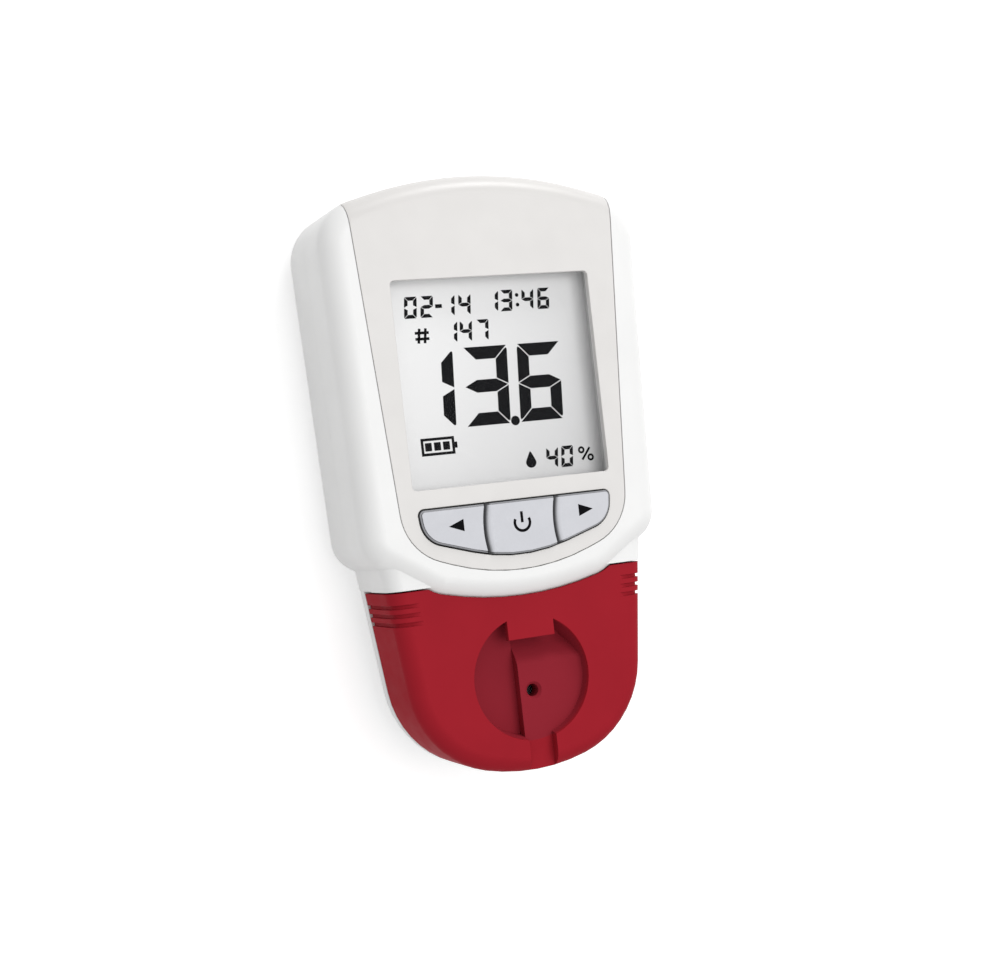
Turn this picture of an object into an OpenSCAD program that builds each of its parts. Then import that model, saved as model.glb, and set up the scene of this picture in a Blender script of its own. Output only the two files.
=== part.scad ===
/* [Overall] */
// Length from the strip end to the display end
total_l = 109.4; // [107:0.2:112]
// Height from the table to the front plate
total_h = 24; // [23.6:0.1:25]
// Height of the joint between the two shells
split_z = 13; // [12.8:0.1:13.4]
// Gap between shells and plates that sit in each other
seam = 0.12; // [0.08:0.02:0.2]

/* [Shells] */
// Width at the display end
head_w = 62.8; // [61.6:0.2:64]
// Width where the head turns in above the strip end
jaw_w = 58.4; // [57.6:0.2:59.6]
// Radius of the arched display end
arch_r = 76; // [70:1:84]
// Half angle of the arched display end
arch_a = 16; // [14:0.5:17]
// Plan radius of the two upper corners
shoulder_r = 9; // [8:0.5:10]
// Radius of the round chin that meets the strip holder
chin_r = 61; // [58:1:62]
// Half angle of the chin
chin_a = 14.5; // [14:0.1:14.8]
// Half the width at which the chin turns into the cheeks
cheek_x = 17; // [16.6:0.1:17.4]
// Slope of the cheeks
cheek_a = 33; // [32:0.5:34]
// Rounding between the chin and the cheeks
cheek_r = 8; // [6:0.5:9]
// Plan radius between side and chin
jaw_r = 6; // [5:0.5:7]
// Distance from the arched end to the middle of the chin
head_l = 77.8; // [77.1:0.1:78.6]
// Rounding of the front edge
front_edge_r = 4; // [3.6:0.1:4.4]
// Rounding of the back edge
back_edge_r = 4; // [3.4:0.1:4.4]
// Wall thickness of both shells
wall = 2; // [1.8:0.05:2.2]
// Thickness of the front face under the plate
face_t = 1.8; // [1.6:0.05:2]
// Thickness of the back face
back_t = 1.6; // [1.5:0.05:1.8]
// Height of the overlapping rim between the shells
rim_h = 1; // [0.8:0.1:1.2]

/* [Waist] */
// Drop from the front plate to the shoulder
waist_drop = 1.2; // [1:0.1:1.6]
// Distance from the shoulder's end to the lowest point of the chin
waist_rise = 4.1; // [3.8:0.1:4.4]
// Rounding of the front edge of shoulder and strip end
tail_edge_r = 3; // [2.6:0.1:3.2]
// Rounding of the back edge of shoulder and strip end
tail_low_r = 2.4; // [2:0.1:2.8]

/* [Front plate] */
// Thickness of the plate
plate_t = 1; // [0.9:0.05:1.1]
// Width of the plate at the arched end
plate_top_w = 53; // [52:0.2:54]
// Width of the plate at its lower corners
plate_low_w = 43.8; // [43.4:0.2:44.4]
// Radius of the plate's round lower end
plate_chin_r = 40; // [38:1:44]
// Half angle of the plate's round lower end
plate_chin_a = 20; // [19:0.5:21]
// Plan radius of the plate's lower corners
plate_jaw_r = 10; // [9:0.5:11]
// Distance from the chin of the shell to the chin of the plate
plate_margin = 5.4; // [5.1:0.1:5.9]
// Depth to which the plate wraps over the arched end
plate_lip_h = 7.5; // [6.5:0.5:8]

/* [Display] */
// Width of the display opening
window_w = 39; // [38:0.2:39.6]
// Height of the display opening
window_h = 37.4; // [36.6:0.2:37.8]
// Distance from the arched end to the middle of the display
window_from_top = 37.7; // [37.3:0.1:38.1]
// Corner radius of the display opening
window_r = 0.8; // [0.5:0.1:1.2]
// Overlap of the clear window under the plate
lens_lap = 2; // [1.8:0.1:2.2]
// Thickness of the clear window
lens_t = 1; // [0.8:0.05:1.1]
// Corner radius of the clear window
lens_r = 1.2; // [1:0.1:1.6]
// How much wider the shell's opening is than the plate's
window_step = 0.8; // [0.6:0.05:0.9]
// Thickness of the display glass
lcd_t = 2.1; // [1.8:0.1:2.2]
// Margin of the display glass above and below the opening
lcd_margin = 1.7; // [1.5:0.1:1.8]
// Margin of the display glass on both sides of the opening
lcd_side = 2; // [1.8:0.05:2.1]
// Thickness of the foam between glass and face
gasket_t = 0.9; // [0.7:0.05:1.1]
// Wall of the frame that holds the glass
lcd_frame_t = 0.8; // [0.7:0.05:0.9]
// Height of the frame's floor under the glass
tray_t = 1.4; // [1.3:0.05:1.5]
// Width of the two contact strips under the glass
contact_strip_w = 1.8; // [1.6:0.1:2]
// Distance from the glass's edge to a contact strip
contact_strip_in = 1.6; // [1.5:0.1:1.8]
// Thickness of the main board
board_t = 1.2; // [1:0.05:1.4]
// Margin between the shell's outline and the board
board_margin = 5.4; // [5.2:0.1:5.8]
// Distance from the keys' end of the head to the processor and the buzzer
parts_up = 13.1; // [12.9:0.1:13.3]
// Edge length of the processor chip
chip_w = 8; // [7:0.5:9]
// Height of the processor chip
chip_t = 1.2; // [1:0.1:1.2]
// Diameter of the buzzer
buzzer_d = 9; // [8.5:0.1:9.5]
// Height of the buzzer
buzzer_h = 3.8; // [3.2:0.1:4]

/* [Keys] */
// Width of the key opening along its upper edge
keys_w = 38.4; // [38:0.1:38.8]
// Height of the key opening
keys_h = 10.1; // [9.8:0.1:10.3]
// Distance from the display opening to the key opening
keys_below = 3.3; // [3.1:0.1:3.5]
// Radius of the opening's lower edge
keys_chin_r = 32; // [30:1:34]
// Half angle of the opening's lower edge
keys_chin_a = 17; // [16:0.5:18]
// Plan radius of the opening's lower corners
keys_jaw_r = 5; // [4.4:0.1:5.6]
// Plan radius of the opening's upper corners
keys_corner_r = 1.2; // [1:0.1:1.4]
// Gap round each key
key_gap = 0.25; // [0.2:0.01:0.3]
// Distance from the middle to the edge of the power key
key_split = 6.9; // [6.5:0.1:7.3]
// Radius of the curved edges between keys
key_bow_r = 18; // [16:1:22]
// Height of a key above the front plate
key_proud = 0.5; // [0.4:0.05:0.7]
// Width and height of the step round a key's top
key_edge = 0.3; // [0.2:0.05:0.35]
// Travel of a key
key_travel = 0.5; // [0.4:0.05:0.6]
// Width of the flange that keeps a key in
key_flange = 0.6; // [0.5:0.05:0.6]
// Thickness of the flange
key_flange_t = 0.9; // [0.8:0.05:1]
// Distance of the outer keys' stems from the middle
key_stem_x = 12.6; // [12:0.1:13]
// Diameter of the stem under a key
key_stem_d = 4; // [3.6:0.1:4.4]
// Thickness of the silicone sheet
mat_t = 0.8; // [0.7:0.05:0.9]
// Diameter of a dome on the silicone sheet
dome_d = 6.4; // [6:0.1:6.8]
// Gap between a pressed key and its dome
dome_gap = 0.3; // [0.2:0.05:0.4]

/* [Strip end] */
// Width of the strip end below the shoulder
tail_w = 50.8; // [50.2:0.2:51.4]
// Width of the strip end at its lower corners
tail_low_w = 43.2; // [42.8:0.2:44]
// Radius of the strip end's tip
tip_r = 36; // [34:0.5:38]
// Half angle of the tip
tip_a = 16; // [14:0.5:18]
// Plan radius between side and tip
tail_corner_r = 19; // [17.5:0.5:19]
// Drop from the front plate to the strip holder
tail_drop = 1.4; // [1.2:0.1:1.6]
// Height of the strip holder's side
tail_side_h = 13.9; // [13.5:0.1:14.2]
// Thickness of the strip holder's top
tail_top_t = 1.7; // [1.5:0.1:1.9]
// Thickness of the strip holder's walls
holder_wall = 1.6; // [1.5:0.05:1.7]
// Gap between strip holder and shells
tail_gap = 0.3; // [0.25:0.05:0.35]
// Height of the strip end's underside above the table
tail_under_z = 4.2; // [3.8:0.1:4.6]
// Thickness of the upright wall that carries the deck
tail_wall = 1.8; // [1.6:0.1:2]
// Thickness of the strip end's floor
tail_floor_t = 2.2; // [2:0.1:2.4]

/* [Strip channel] */
// Radius of the round recess
dish_r = 11.4; // [11:0.1:11.8]
// Distance from the tip to the middle of the recess
dish_from_tip = 17.1; // [16.8:0.1:17.4]
// Depth of the channel's floor
channel_depth = 1.9; // [1.7:0.05:2.1]
// Depth of the crescent beside the channel
crescent_depth = 3.9; // [3.7:0.05:4.1]
// Width of the channel for the strip
channel_w = 5.4; // [5.2:0.1:5.8]
// Distance of the channel and the optics from the middle
channel_x = 0.8; // [0.7:0.1:0.9]
// Draft of the recess wall
dish_draft = 0.9; // [0.7:0.1:1.1]
// Further fall of the floor under the bridge
ramp_drop = 3.4; // [3.2:0.1:3.5]
// Distance from the middle of the recess to the start of the fall
ramp_start = 2; // [1.6:0.1:2.4]
// Distance from the middle of the recess to the channel's blind end
channel_end = 14.6; // [14.2:0.1:15]
// Width of the bridge over the channel
bridge_w = 9.2; // [9:0.1:9.6]
// Distance from the middle of the recess to the bridge's edge
bridge_reach = 7.2; // [7:0.1:7.6]
// Thickness of the bridge
bridge_t = 1.3; // [1.2:0.05:1.4]
// Diameter of the optical hole
eye_d = 2.3; // [2:0.1:2.6]
// Width of the bevel round the light hole
eye_bevel = 0.5; // [0.4:0.05:0.6]
// Distance from the middle of the recess to the optical hole
eye_offset = 2.6; // [2.2:0.1:3]
// Wall round the recess and channel
dish_wall = 1.2; // [1.1:0.05:1.3]
// Number of grip grooves on each side
rib_n = 3; // [2:1:4]
// Distance between grip grooves
rib_pitch = 1.6; // [1.5:0.05:1.8]
// Distance from the seam to the first grip groove
rib_start = 2.5; // [2.2:0.1:2.8]
// Width of a grip groove
rib_w = 0.7; // [0.6:0.05:0.8]
// Depth of a grip groove
rib_h = 0.5; // [0.4:0.05:0.6]
// How far a grip groove runs in over the edge before it fades out
rib_reach = 5; // [4.6:0.1:5.4]
// Height of the ridges that hold the strip holder in the tail
snap_h = 0.2; // [0.15:0.01:0.22]
// Length of such a ridge
snap_l = 6; // [5:0.5:7]
// Distance between the two ridges of a side
snap_pitch = 8; // [7.5:0.5:8]
// Width of such a ridge
snap_w = 0.8; // [0.6:0.1:1]

/* [Optics] */
// Thickness of the deck over the optics
deck_t = 1.5; // [1.3:0.05:1.6]
// Thickness of the sensor board
sensor_board_t = 1.2; // [1:0.05:1.4]
// Width of the sensor board
sensor_board_w = 26; // [25:0.5:27]
// Length of the sensor board
sensor_board_l = 19; // [17.5:0.5:19.5]
// Width of the optics block
optics_w = 16; // [15:0.5:17]
// Length of the optics block
optics_l = 13; // [12:0.5:14]
// Diameter of the optics nose
nose_d = 4.4; // [4.2:0.1:4.5]
// Diameter of the clear disc on the nose
disc_d = 3.4; // [3.2:0.1:3.5]
// Thickness of the clear disc
disc_t = 0.8; // [0.6:0.05:0.9]
// Distance from the light bore to an emitter
emitter_x = 4.6; // [4.4:0.1:5]
// Edge length of an emitter
emitter_w = 1.8; // [1.6:0.1:2]
// Width of the flat cable between the boards
ribbon_w = 8; // [7:0.5:8.5]
// Thickness of the flat cable
ribbon_t = 0.3; // [0.25:0.05:0.35]
// How far the flat cable reaches past a connector's middle
ribbon_in = 1; // [0.8:0.1:1.2]
// Least distance between the two cable connectors
ribbon_run = 5; // [4.6:0.1:5.4]
// Distance from the keys' end of the head to the connector on the main board
connector_up = 10.5; // [10.3:0.1:10.7]
// Level run of the flat cable before it turns
ribbon_level = 0.6; // [0.4:0.1:0.8]
// Length of a cable connector
connector_l = 2.6; // [2.4:0.1:2.8]
// Height of a cable connector
connector_h = 1.6; // [1.4:0.1:1.8]

/* [Batteries] */
// Diameter of a cell
cell_d = 10.5; // [10.2:0.1:10.5]
// Length of a cell with its cap
cell_l = 44.5; // [44:0.1:44.8]
// Distance between cells
cell_pitch = 11.1; // [10.9:0.05:11.2]
// Number of cells
cell_n = 3; // [3:1:3]
// Diameter of a cell's cap
cap_d = 3.8; // [3.6:0.1:4]
// Length of a cell's cap
cap_l = 1; // [0.9:0.1:1.2]
// Length of a pressed spring
spring_l = 4; // [3.6:0.1:4.4]
// Diameter of a spring's wide end
spring_d = 7.6; // [7:0.1:8]
// Diameter of a spring's end at the cell
spring_tip_d = 5.6; // [5.2:0.1:6]
// Thickness of a spring's wire
spring_wire = 0.7; // [0.6:0.05:0.8]
// Thickness of the contact sheets
contact_t = 0.4; // [0.3:0.05:0.5]
// Width of a contact sheet
contact_w = 8.8; // [8.4:0.1:9.2]
// Distance from the arched end to the bay
bay_from_top = 6.2; // [6:0.1:6.6]
// Thickness of the bay's walls
bay_wall = 1.2; // [1.1:0.05:1.3]
// Clearance round the cells
cell_slack = 0.2; // [0.15:0.01:0.25]
// Clearance round the door
door_gap = 0.15; // [0.12:0.01:0.18]
// Width of the ribs that guide the door
door_rib_w = 0.9; // [0.8:0.05:1]
// Height of the ribs that guide the door
door_rib_h = 0.8; // [0.7:0.05:0.8]
// Lap of the door past the bay's ends
door_lap = 2.4; // [2.2:0.1:2.6]
// Distance from the arched end to the door's end
door_from_top = 2.6; // [2.4:0.1:3]
// Distance from the arched end to the end of the door's rails
rail_from_top = 7.4; // [7:0.2:8]
// Width of a rail
rail_w = 2.8; // [2.6:0.1:3]
// Height of the rails and ledges over the door
rail_h = 1.4; // [1.2:0.1:1.6]

/* [Sockets] */
// Distance from the display's middle up to the data socket
usb_up = 8.4; // [8.2:0.1:8.6]
// Width of the data socket
usb_w = 7.7; // [7.5:0.1:7.9]
// Height of the data socket
usb_h = 3.9; // [3.8:0.05:4]
// Depth of the data socket
usb_l = 9; // [8.6:0.1:9.2]
// Distance from the display's middle down to the code key
code_down = 3.4; // [3.2:0.1:3.6]
// Width of the code key
code_w = 10; // [9.6:0.1:10.2]
// Height of the code key
code_h = 2.8; // [2.6:0.1:3]
// Depth of the code key
code_l = 9; // [8.6:0.1:9.2]
// Clearance round the code key
code_gap = 0.15; // [0.12:0.01:0.2]
// Wall of the code key's socket
code_wall = 0.7; // [0.6:0.05:0.8]
// How far the code key stands out of the side
code_proud = 0.8; // [0.6:0.1:0.9]
// Gap between a socket's opening in the shells and what sits in it
socket_gap = 0.25; // [0.2:0.01:0.3]

/* [Fasteners and feet] */
// Diameter of a housing screw
screw_d = 2.2; // [2:0.1:2.4]
// Diameter of a housing screw's head
screw_head_d = 3.8; // [3.6:0.1:4]
// Height of a housing screw's head
screw_head_h = 1.4; // [1.2:0.1:1.5]
// Length of a housing screw under its head
screw_l = 11; // [10:0.5:12]
// Diameter of a screw boss
boss_d = 4.4; // [4.2:0.1:4.5]
// Distance from the side to a screw's axis
screw_inset = 5; // [4.9:0.05:5.2]
// Distance from the display's middle up to the upper housing screws
screw_up = 15.2; // [15:0.1:15.6]
// Distance from the display's middle down to the lower housing screws
screw_down = 12.8; // [12.4:0.1:13]
// Depth of the well over a housing screw's head
screw_well = 4.4; // [4:0.1:4.8]
// Wall round the well
well_wall = 0.9; // [0.8:0.05:1]
// Diameter of the small screws
small_screw_d = 1.6; // [1.4:0.1:1.8]
// Diameter of a small screw's head
small_head_d = 3; // [2.8:0.1:3.1]
// Height of a small screw's head
small_head_h = 0.9; // [0.8:0.05:1]
// Diameter of the bosses for the small screws
small_boss_d = 3.4; // [3.2:0.1:3.6]
// Length of a board screw under its head
board_screw_l = 4.6; // [4.2:0.1:4.8]
// Distance of the upper board screws from the middle
board_screw_x = 20; // [19.6:0.1:20.2]
// Distance from the arched end to the upper board screws
board_screw_in = 12; // [11.8:0.1:12.4]
// Distance of the lower board screws from the middle
low_screw_x = 21.8; // [21.6:0.1:22]
// Length of a deck screw under its head
deck_screw_l = 5; // [4.4:0.1:5.2]
// Distance of the deck screws from the middle
deck_screw_x = 15.5; // [15.3:0.1:16]
// Diameter of a rubber foot
foot_d = 5; // [4.6:0.1:5.2]
// Height of a foot below the back face
foot_h = 0.6; // [0.5:0.05:0.8]
// Depth of the pocket that holds a foot
foot_pocket = 0.7; // [0.6:0.05:0.8]
// Distance of the feet from the middle
foot_x = 22.5; // [22.4:0.05:22.6]
// Distance from the arched end to the upper feet
foot_from_top = 12.6; // [12:0.1:13]
// Distance from the chin to the lower feet
foot_from_chin = 16.1; // [15.7:0.1:16.5]

/* [Hidden] */
$fn = 48;
eps = 0.01;
far = 40;
arc_step = 8;
arc_chord = 4;
edge_steps = 5;
lay = 0.02;

top_y = total_l / 2;
tip_y = -total_l / 2;
face_z = total_h;
back_z = foot_h;
chin_y = top_y - head_l;
window_y = top_y - window_from_top;
waist_z = face_z - waist_drop;
waist_y = chin_y + waist_rise;
plate_in_z = face_z - plate_t;
face_in_z = plate_in_z - face_t;
floor_z = back_z + back_t;

lens_z = plate_in_z - lens_t;
lcd_top_z = face_in_z - gasket_t;
lcd_z = lcd_top_z - lcd_t;
lcd_w = window_w + 2 * lcd_side;
lcd_h = window_h + 2 * lcd_margin;
lcd_slack = 0.1;
lcd_frame_w = lcd_w + 2 * lcd_frame_t;
lcd_frame_h = lcd_h + 2 * lcd_frame_t;
board_top_z = lcd_z - tray_t;
board_z = board_top_z - board_t;

keys_top_y = window_y - window_h / 2 - keys_below;
keys_low_y = keys_top_y - keys_h;
keys_mid_y = (keys_top_y + keys_low_y) / 2;
key_top_z = face_z + key_proud;
key_seat = 0.1;
key_flange_top_z = face_in_z - key_seat;
key_low_z = key_flange_top_z - key_flange_t;
dome_top_z = key_low_z - key_travel - dome_gap;
lcd_rim_z = key_low_z - key_travel - key_seat;
key_names_x = [-key_stem_x, 0, key_stem_x];

tail_z = face_z - tail_drop;
holder_low_z = tail_z - tail_side_h;
tail_rim_z = holder_low_z - tail_gap;
tail_top_y = waist_y - tail_gap;
dish_y = tip_y + dish_from_tip;
eye_y = dish_y - eye_offset;
channel_z = tail_z - channel_depth;
crescent_z = tail_z - crescent_depth;
ramp_z = channel_z - ramp_drop;
mould_z = ramp_z - dish_wall;
deck_top_z = mould_z - tail_gap;
deck_z = deck_top_z - deck_t;
tail_floor_z = tail_under_z + tail_floor_t;
tail_in = holder_wall + tail_gap;
under_dish_z = crescent_z - dish_wall;
sensor_board_z = tail_floor_z;
sensor_top_z = sensor_board_z + sensor_board_t;
nose_gap = 0.4;
nose_z = under_dish_z - nose_gap - disc_t;
sensor_board_y = eye_y + 4;

bay_w = (cell_n - 1) * cell_pitch + cell_d + 3 * cell_slack;
bay_l = cell_l + spring_l + 2 * contact_t + 2 * cell_slack;
bay_top_y = top_y - bay_from_top;
bay_low_y = bay_top_y - bay_l;
bay_y = (bay_top_y + bay_low_y) / 2;
cell_z = floor_z + cell_slack + cell_d / 2;
bay_ceil_z = cell_z + cell_d / 2 + cell_slack;
door_w = bay_w + 2 * bay_wall;
door_top_y = top_y - door_from_top;
door_low_y = bay_low_y - door_lap;

rim_low_y = waist_y + 10;
usb_y = window_y + usb_up;
usb_z = board_z - usb_h;
code_y = window_y - code_down;
code_z = board_z - code_wall - code_gap - code_h;

screw_head_z = back_z + screw_well;
screw_seat_z = screw_head_z + screw_head_h;
well_d = screw_head_d + 0.4;
foot_ys = [top_y - foot_from_top, chin_y + foot_from_chin];
parts_x = 11;
parts_y = chin_y + parts_up;
board_screw_places = [for (s = [-1, 1]) each
  [[s * board_screw_x, top_y - board_screw_in], [s * low_screw_x, parts_y + 0.6]]];
spring_in_d = spring_d - 2 * spring_wire;
deck_screw_y = tail_top_y - 8.4;

shell_white = [0.93, 0.93, 0.92];
plate_grey = [0.86, 0.86, 0.85];
key_grey = [0.78, 0.78, 0.82];
holder_red = [0.62, 0.12, 0.16];
board_green = [0.1, 0.35, 0.2];
metal = [0.75, 0.76, 0.78];
dark = [0.12, 0.12, 0.13];

function unit(v) = v / norm(v);
function flat(p) = [p[0], p[1]];
function outward(a, b) = let (e = unit(flat(b) - flat(a))) [e[1], -e[0]];
function crest(reach, r, a) = reach - r + r / cos(a);
function mirrored(side) = [for (i = [len(side) - 1 : -1 : 0]) [-side[i][0], side[i][1], side[i][2]]];
function symmetric(low, side, high) = concat(low, side, high, mirrored(side));

// Points of the arc that rounds corner b of an outline that turns left
function corner(a, b, c) =
  let (
    u = unit(flat(a) - flat(b)),
    w = unit(flat(c) - flat(b)),
    half = acos(u * w) / 2,
    sweep = 180 - 2 * half,
    mid = flat(b) + unit(u + w) * b[2] / sin(half),
    start = flat(b) + u * b[2] / tan(half) - mid,
    from = atan2(start[1], start[0]),
    n = ceil(max(sweep / arc_step, sweep * PI / 180 * b[2] / arc_chord, 1))
  )
  [for (k = [0 : n]) mid + b[2] * [cos(from + k * sweep / n), sin(from + k * sweep / n)]];

function rounded(v) =
  let (n = len(v))
  [for (i = [0 : n - 1]) each corner(v[(i + n - 1) % n], v[i], v[(i + 1) % n])];

// The same outline drawn in by d, or let out where d is negative
function inset(v, d) =
  let (n = len(v))
  [for (i = [0 : n - 1])
    let (
      p = v[i],
      n1 = outward(v[(i + n - 1) % n], p),
      n2 = outward(p, v[(i + 1) % n]),
      q = flat(p) - d * (n1 + n2) / (1 + n1 * n2)
    )
    [q[0], q[1], max(p[2] - d, 0.4)]];

function arch_vertex(r, a, reach) = [[0, crest(reach, r, a), r]];
function chin_vertex(r, a, low) = [[0, -crest(-low, r, a), r]];
cheek_y = -crest(-chin_y, chin_r, chin_a) + cheek_x * tan(chin_a);
function head_outline(reach) = symmetric(
  chin_vertex(chin_r, chin_a, chin_y),
  [[cheek_x, cheek_y, cheek_r],
    [jaw_w / 2, cheek_y + (jaw_w / 2 - cheek_x) * tan(cheek_a), jaw_r],
    [head_w / 2, crest(reach, arch_r, arch_a) - head_w / 2 * tan(arch_a), shoulder_r]],
  arch_vertex(arch_r, arch_a, reach));
function box_outline(w, low, high, r) =
  [[-w / 2, low, r], [w / 2, low, r], [w / 2, high, r], [-w / 2, high, r]];

// How far the waist and the tail reach into the head
tuck = 24;
head = head_outline(top_y);
plate_low = chin_y + plate_margin;
plate = symmetric(
  chin_vertex(plate_chin_r, plate_chin_a, plate_low),
  [[plate_low_w / 2,
      -crest(-plate_low, plate_chin_r, plate_chin_a) + plate_low_w / 2 * tan(plate_chin_a),
      plate_jaw_r],
    [plate_top_w / 2, top_y + 4, 1]],
  []);
keys_low_w = keys_w - 1.2;
keys = symmetric(
  chin_vertex(keys_chin_r, keys_chin_a, keys_low_y),
  [[keys_low_w / 2,
      -crest(-keys_low_y, keys_chin_r, keys_chin_a) + keys_low_w / 2 * tan(keys_chin_a),
      keys_jaw_r],
    [keys_w / 2, keys_top_y, keys_corner_r]],
  []);
tail_corner_y = -crest(-tip_y, tip_r, tip_a) + tail_low_w / 2 * tan(tip_a);
tail_lean = (tail_w - tail_low_w) / 2 / (waist_y - tail_corner_y);
// Half the width of the shoulder and the strip end at height y
function tail_x(y) = tail_w / 2 + tail_lean * (y - waist_y);
// The corner ends where the tip's arc starts
tail_round = min(tail_corner_r,
  (tail_low_w / 2 - tip_r * sin(tip_a)) / cos(tip_a) / tan((90 - tip_a - atan(tail_lean)) / 2));
tail = symmetric(
  chin_vertex(tip_r, tip_a, tip_y),
  [[tail_low_w / 2, tail_corner_y, tail_round], [tail_x(waist_y + tuck), waist_y + tuck, 2]],
  []);
// The shoulder stands out past the strip end by the seam
function waist_outline(low_y) = symmetric(
  [],
  [[tail_x(low_y) + seam, low_y, 0.5], [tail_x(waist_y + tuck) + seam, waist_y + tuck, 2]],
  []);
waist = waist_outline(waist_y);

module slab(v, z0, z1) {
  translate([0, 0, z0]) linear_extrude(z1 - z0) polygon(rounded(v));
}

// A block with a rounded upper edge
module crowned(v, z0, z1, r) {
  hull() {
    slab(v, z0, z1 - r);
    for (k = [1 : edge_steps])
      let (a = k * 90 / edge_steps, z = z1 - r + r * sin(a))
      slab(inset(v, r * (1 - cos(a))), z - lay, z);
  }
}

// The shoulder's block grown by d: rounded along its sides, cut off flat at its end
module shoulder(d, z0, z1, r) {
  difference() {
    crowned(inset(waist_outline(waist_y - 2 * r), -d), z0, z1, r);
    block(-far, far, tip_y - far, waist_y - d, z0 - 1, z1 + 1);
  }
}

// A block with a rounded lower edge
module keeled(v, z0, z1, r) {
  hull() {
    slab(v, z0 + r, z1);
    for (k = [1 : edge_steps])
      let (a = k * 90 / edge_steps, z = z0 + r - r * sin(a))
      slab(inset(v, r * (1 - cos(a))), z, z + lay);
  }
}

module block(x0, x1, y0, y1, z0, z1) {
  translate([x0, y0, z0]) cube([x1 - x0, y1 - y0, z1 - z0]);
}

module rod(x, y, z0, z1, d) {
  translate([x, y, z0]) cylinder(h = z1 - z0, d = d);
}

module window_frame(w, h, z0, z1, r) {
  slab(box_outline(w, window_y - h / 2, window_y + h / 2, r), z0, z1);
}

// Half the width of the head at height y, on its straight side
function side_x(y) =
  let (a = head[2], b = head[3])
  a[0] + (b[0] - a[0]) * (y - a[1]) / (b[1] - a[1]);
function screw_places() =
  [for (y = [window_y + screw_up, window_y - screw_down], s = [-1, 1])
    [s * (side_x(y) - screw_inset), y]];

module head_cavity(z0, z1, t) {
  slab(inset(head_outline(top_y - plate_t), t), z0, z1);
}

// The openings in the side wall for the data socket and the code key
module side_holes() {
  g = socket_gap;
  x0 = jaw_w / 2 - screw_inset;
  block(x0, far, usb_y - usb_w / 2 - g, usb_y + usb_w / 2 + g, usb_z - g, usb_z + usb_h + g);
  block(x0, far, code_y - code_w / 2 - g, code_y + code_w / 2 + g, code_z - g, code_z + code_h + g);
}

module front_housing() {
  color(shell_white)
  difference() {
    union() {
      difference() {
        union() {
          crowned(head, split_z, face_z, front_edge_r);
          shoulder(0, split_z, waist_z, tail_edge_r);
        }
        head_cavity(split_z - 1, face_in_z, wall);
        slab(inset(waist, wall), split_z - 1, waist_z - wall);
      }
      for (p = screw_places())
        rod(p[0], p[1], split_z + eps, face_in_z + eps, boss_d);
      for (p = board_screw_places)
        rod(p[0], p[1], board_top_z, face_in_z + eps, small_boss_d);
    }
    difference() {
      slab(inset(plate, -seam), face_z - plate_lip_h - seam, face_z + 1);
      crowned(inset(head, plate_t), split_z - 1, plate_in_z, front_edge_r - plate_t);
    }
    window_frame(window_w + 2 * lens_lap + seam, window_h + 2 * lens_lap + seam,
      lens_z, face_z + 1, lens_r);
    window_frame(window_w + 2 * window_step, window_h + 2 * window_step,
      face_in_z - 1, face_z, window_r);
    slab(keys, face_in_z - 1, face_z);
    for (p = screw_places())
      rod(p[0], p[1], split_z - 1, screw_seat_z + screw_l + 0.6, screw_d);
    for (p = board_screw_places)
      rod(p[0], p[1], board_top_z - 1, face_in_z, small_screw_d);
    side_holes();
    rim_groove();
  }
}

// The step in the front shell's inner edge that takes the rear shell's rim
module rim_groove() {
  difference() {
    slab(inset(head, wall / 2), split_z - eps, split_z + rim_h + seam);
    block(-far, far, tip_y, rim_low_y, split_z - 1, split_z + rim_h + 1);
  }
}

module rear_rim() {
  difference() {
    slab(inset(head, wall / 2 + seam), split_z - eps, split_z + rim_h);
    slab(inset(head, wall), split_z - 1, split_z + rim_h + 1);
    block(-far, far, tip_y, rim_low_y + seam, split_z - 1, split_z + rim_h + 1);
  }
}

// The strip end under the holder: a low tray and the upright wall that carries the deck
module tail_tray() {
  keeled(tail, tail_under_z, tail_rim_z, tail_low_r);
  slab(inset(tail, tail_in), tail_rim_z - eps, deck_z);
}

module under_front() {
  slab(inset(head, -seam), split_z, face_z);
  slab(inset(waist, -seam), split_z, face_z);
}

// The room that the door and its two ribs slide in
module door_path() {
  g = door_gap;
  block(-door_w / 2 - g, door_w / 2 + g, door_low_y - g, top_y + 5, back_z - 1, floor_z + g);
  for (s = [-1, 1])
    block(s * door_w / 2 - door_rib_w - g, s * door_w / 2 + door_rib_w + g,
      door_low_y - g, top_y + 5, floor_z - door_rib_h - g, floor_z + g);
}

// What covers the door from inside: a ledge past each end of the bay and a rail on each side
module door_cover() {
  intersection() {
    slab(inset(head, wall), floor_z - eps, floor_z + rail_h);
    union() {
      block(-door_w / 2, door_w / 2, bay_top_y, top_y, back_z, far);
      block(-door_w / 2, door_w / 2, door_low_y - bay_wall, bay_low_y, back_z, far);
    }
  }
  for (s = [-1, 1])
    translate([s * (door_w / 2 + rail_w / 2 - door_gap), 0, 0])
    block(-rail_w / 2, rail_w / 2, door_low_y - bay_wall, top_y - rail_from_top,
      back_z + eps, floor_z + rail_h);
}

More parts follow.
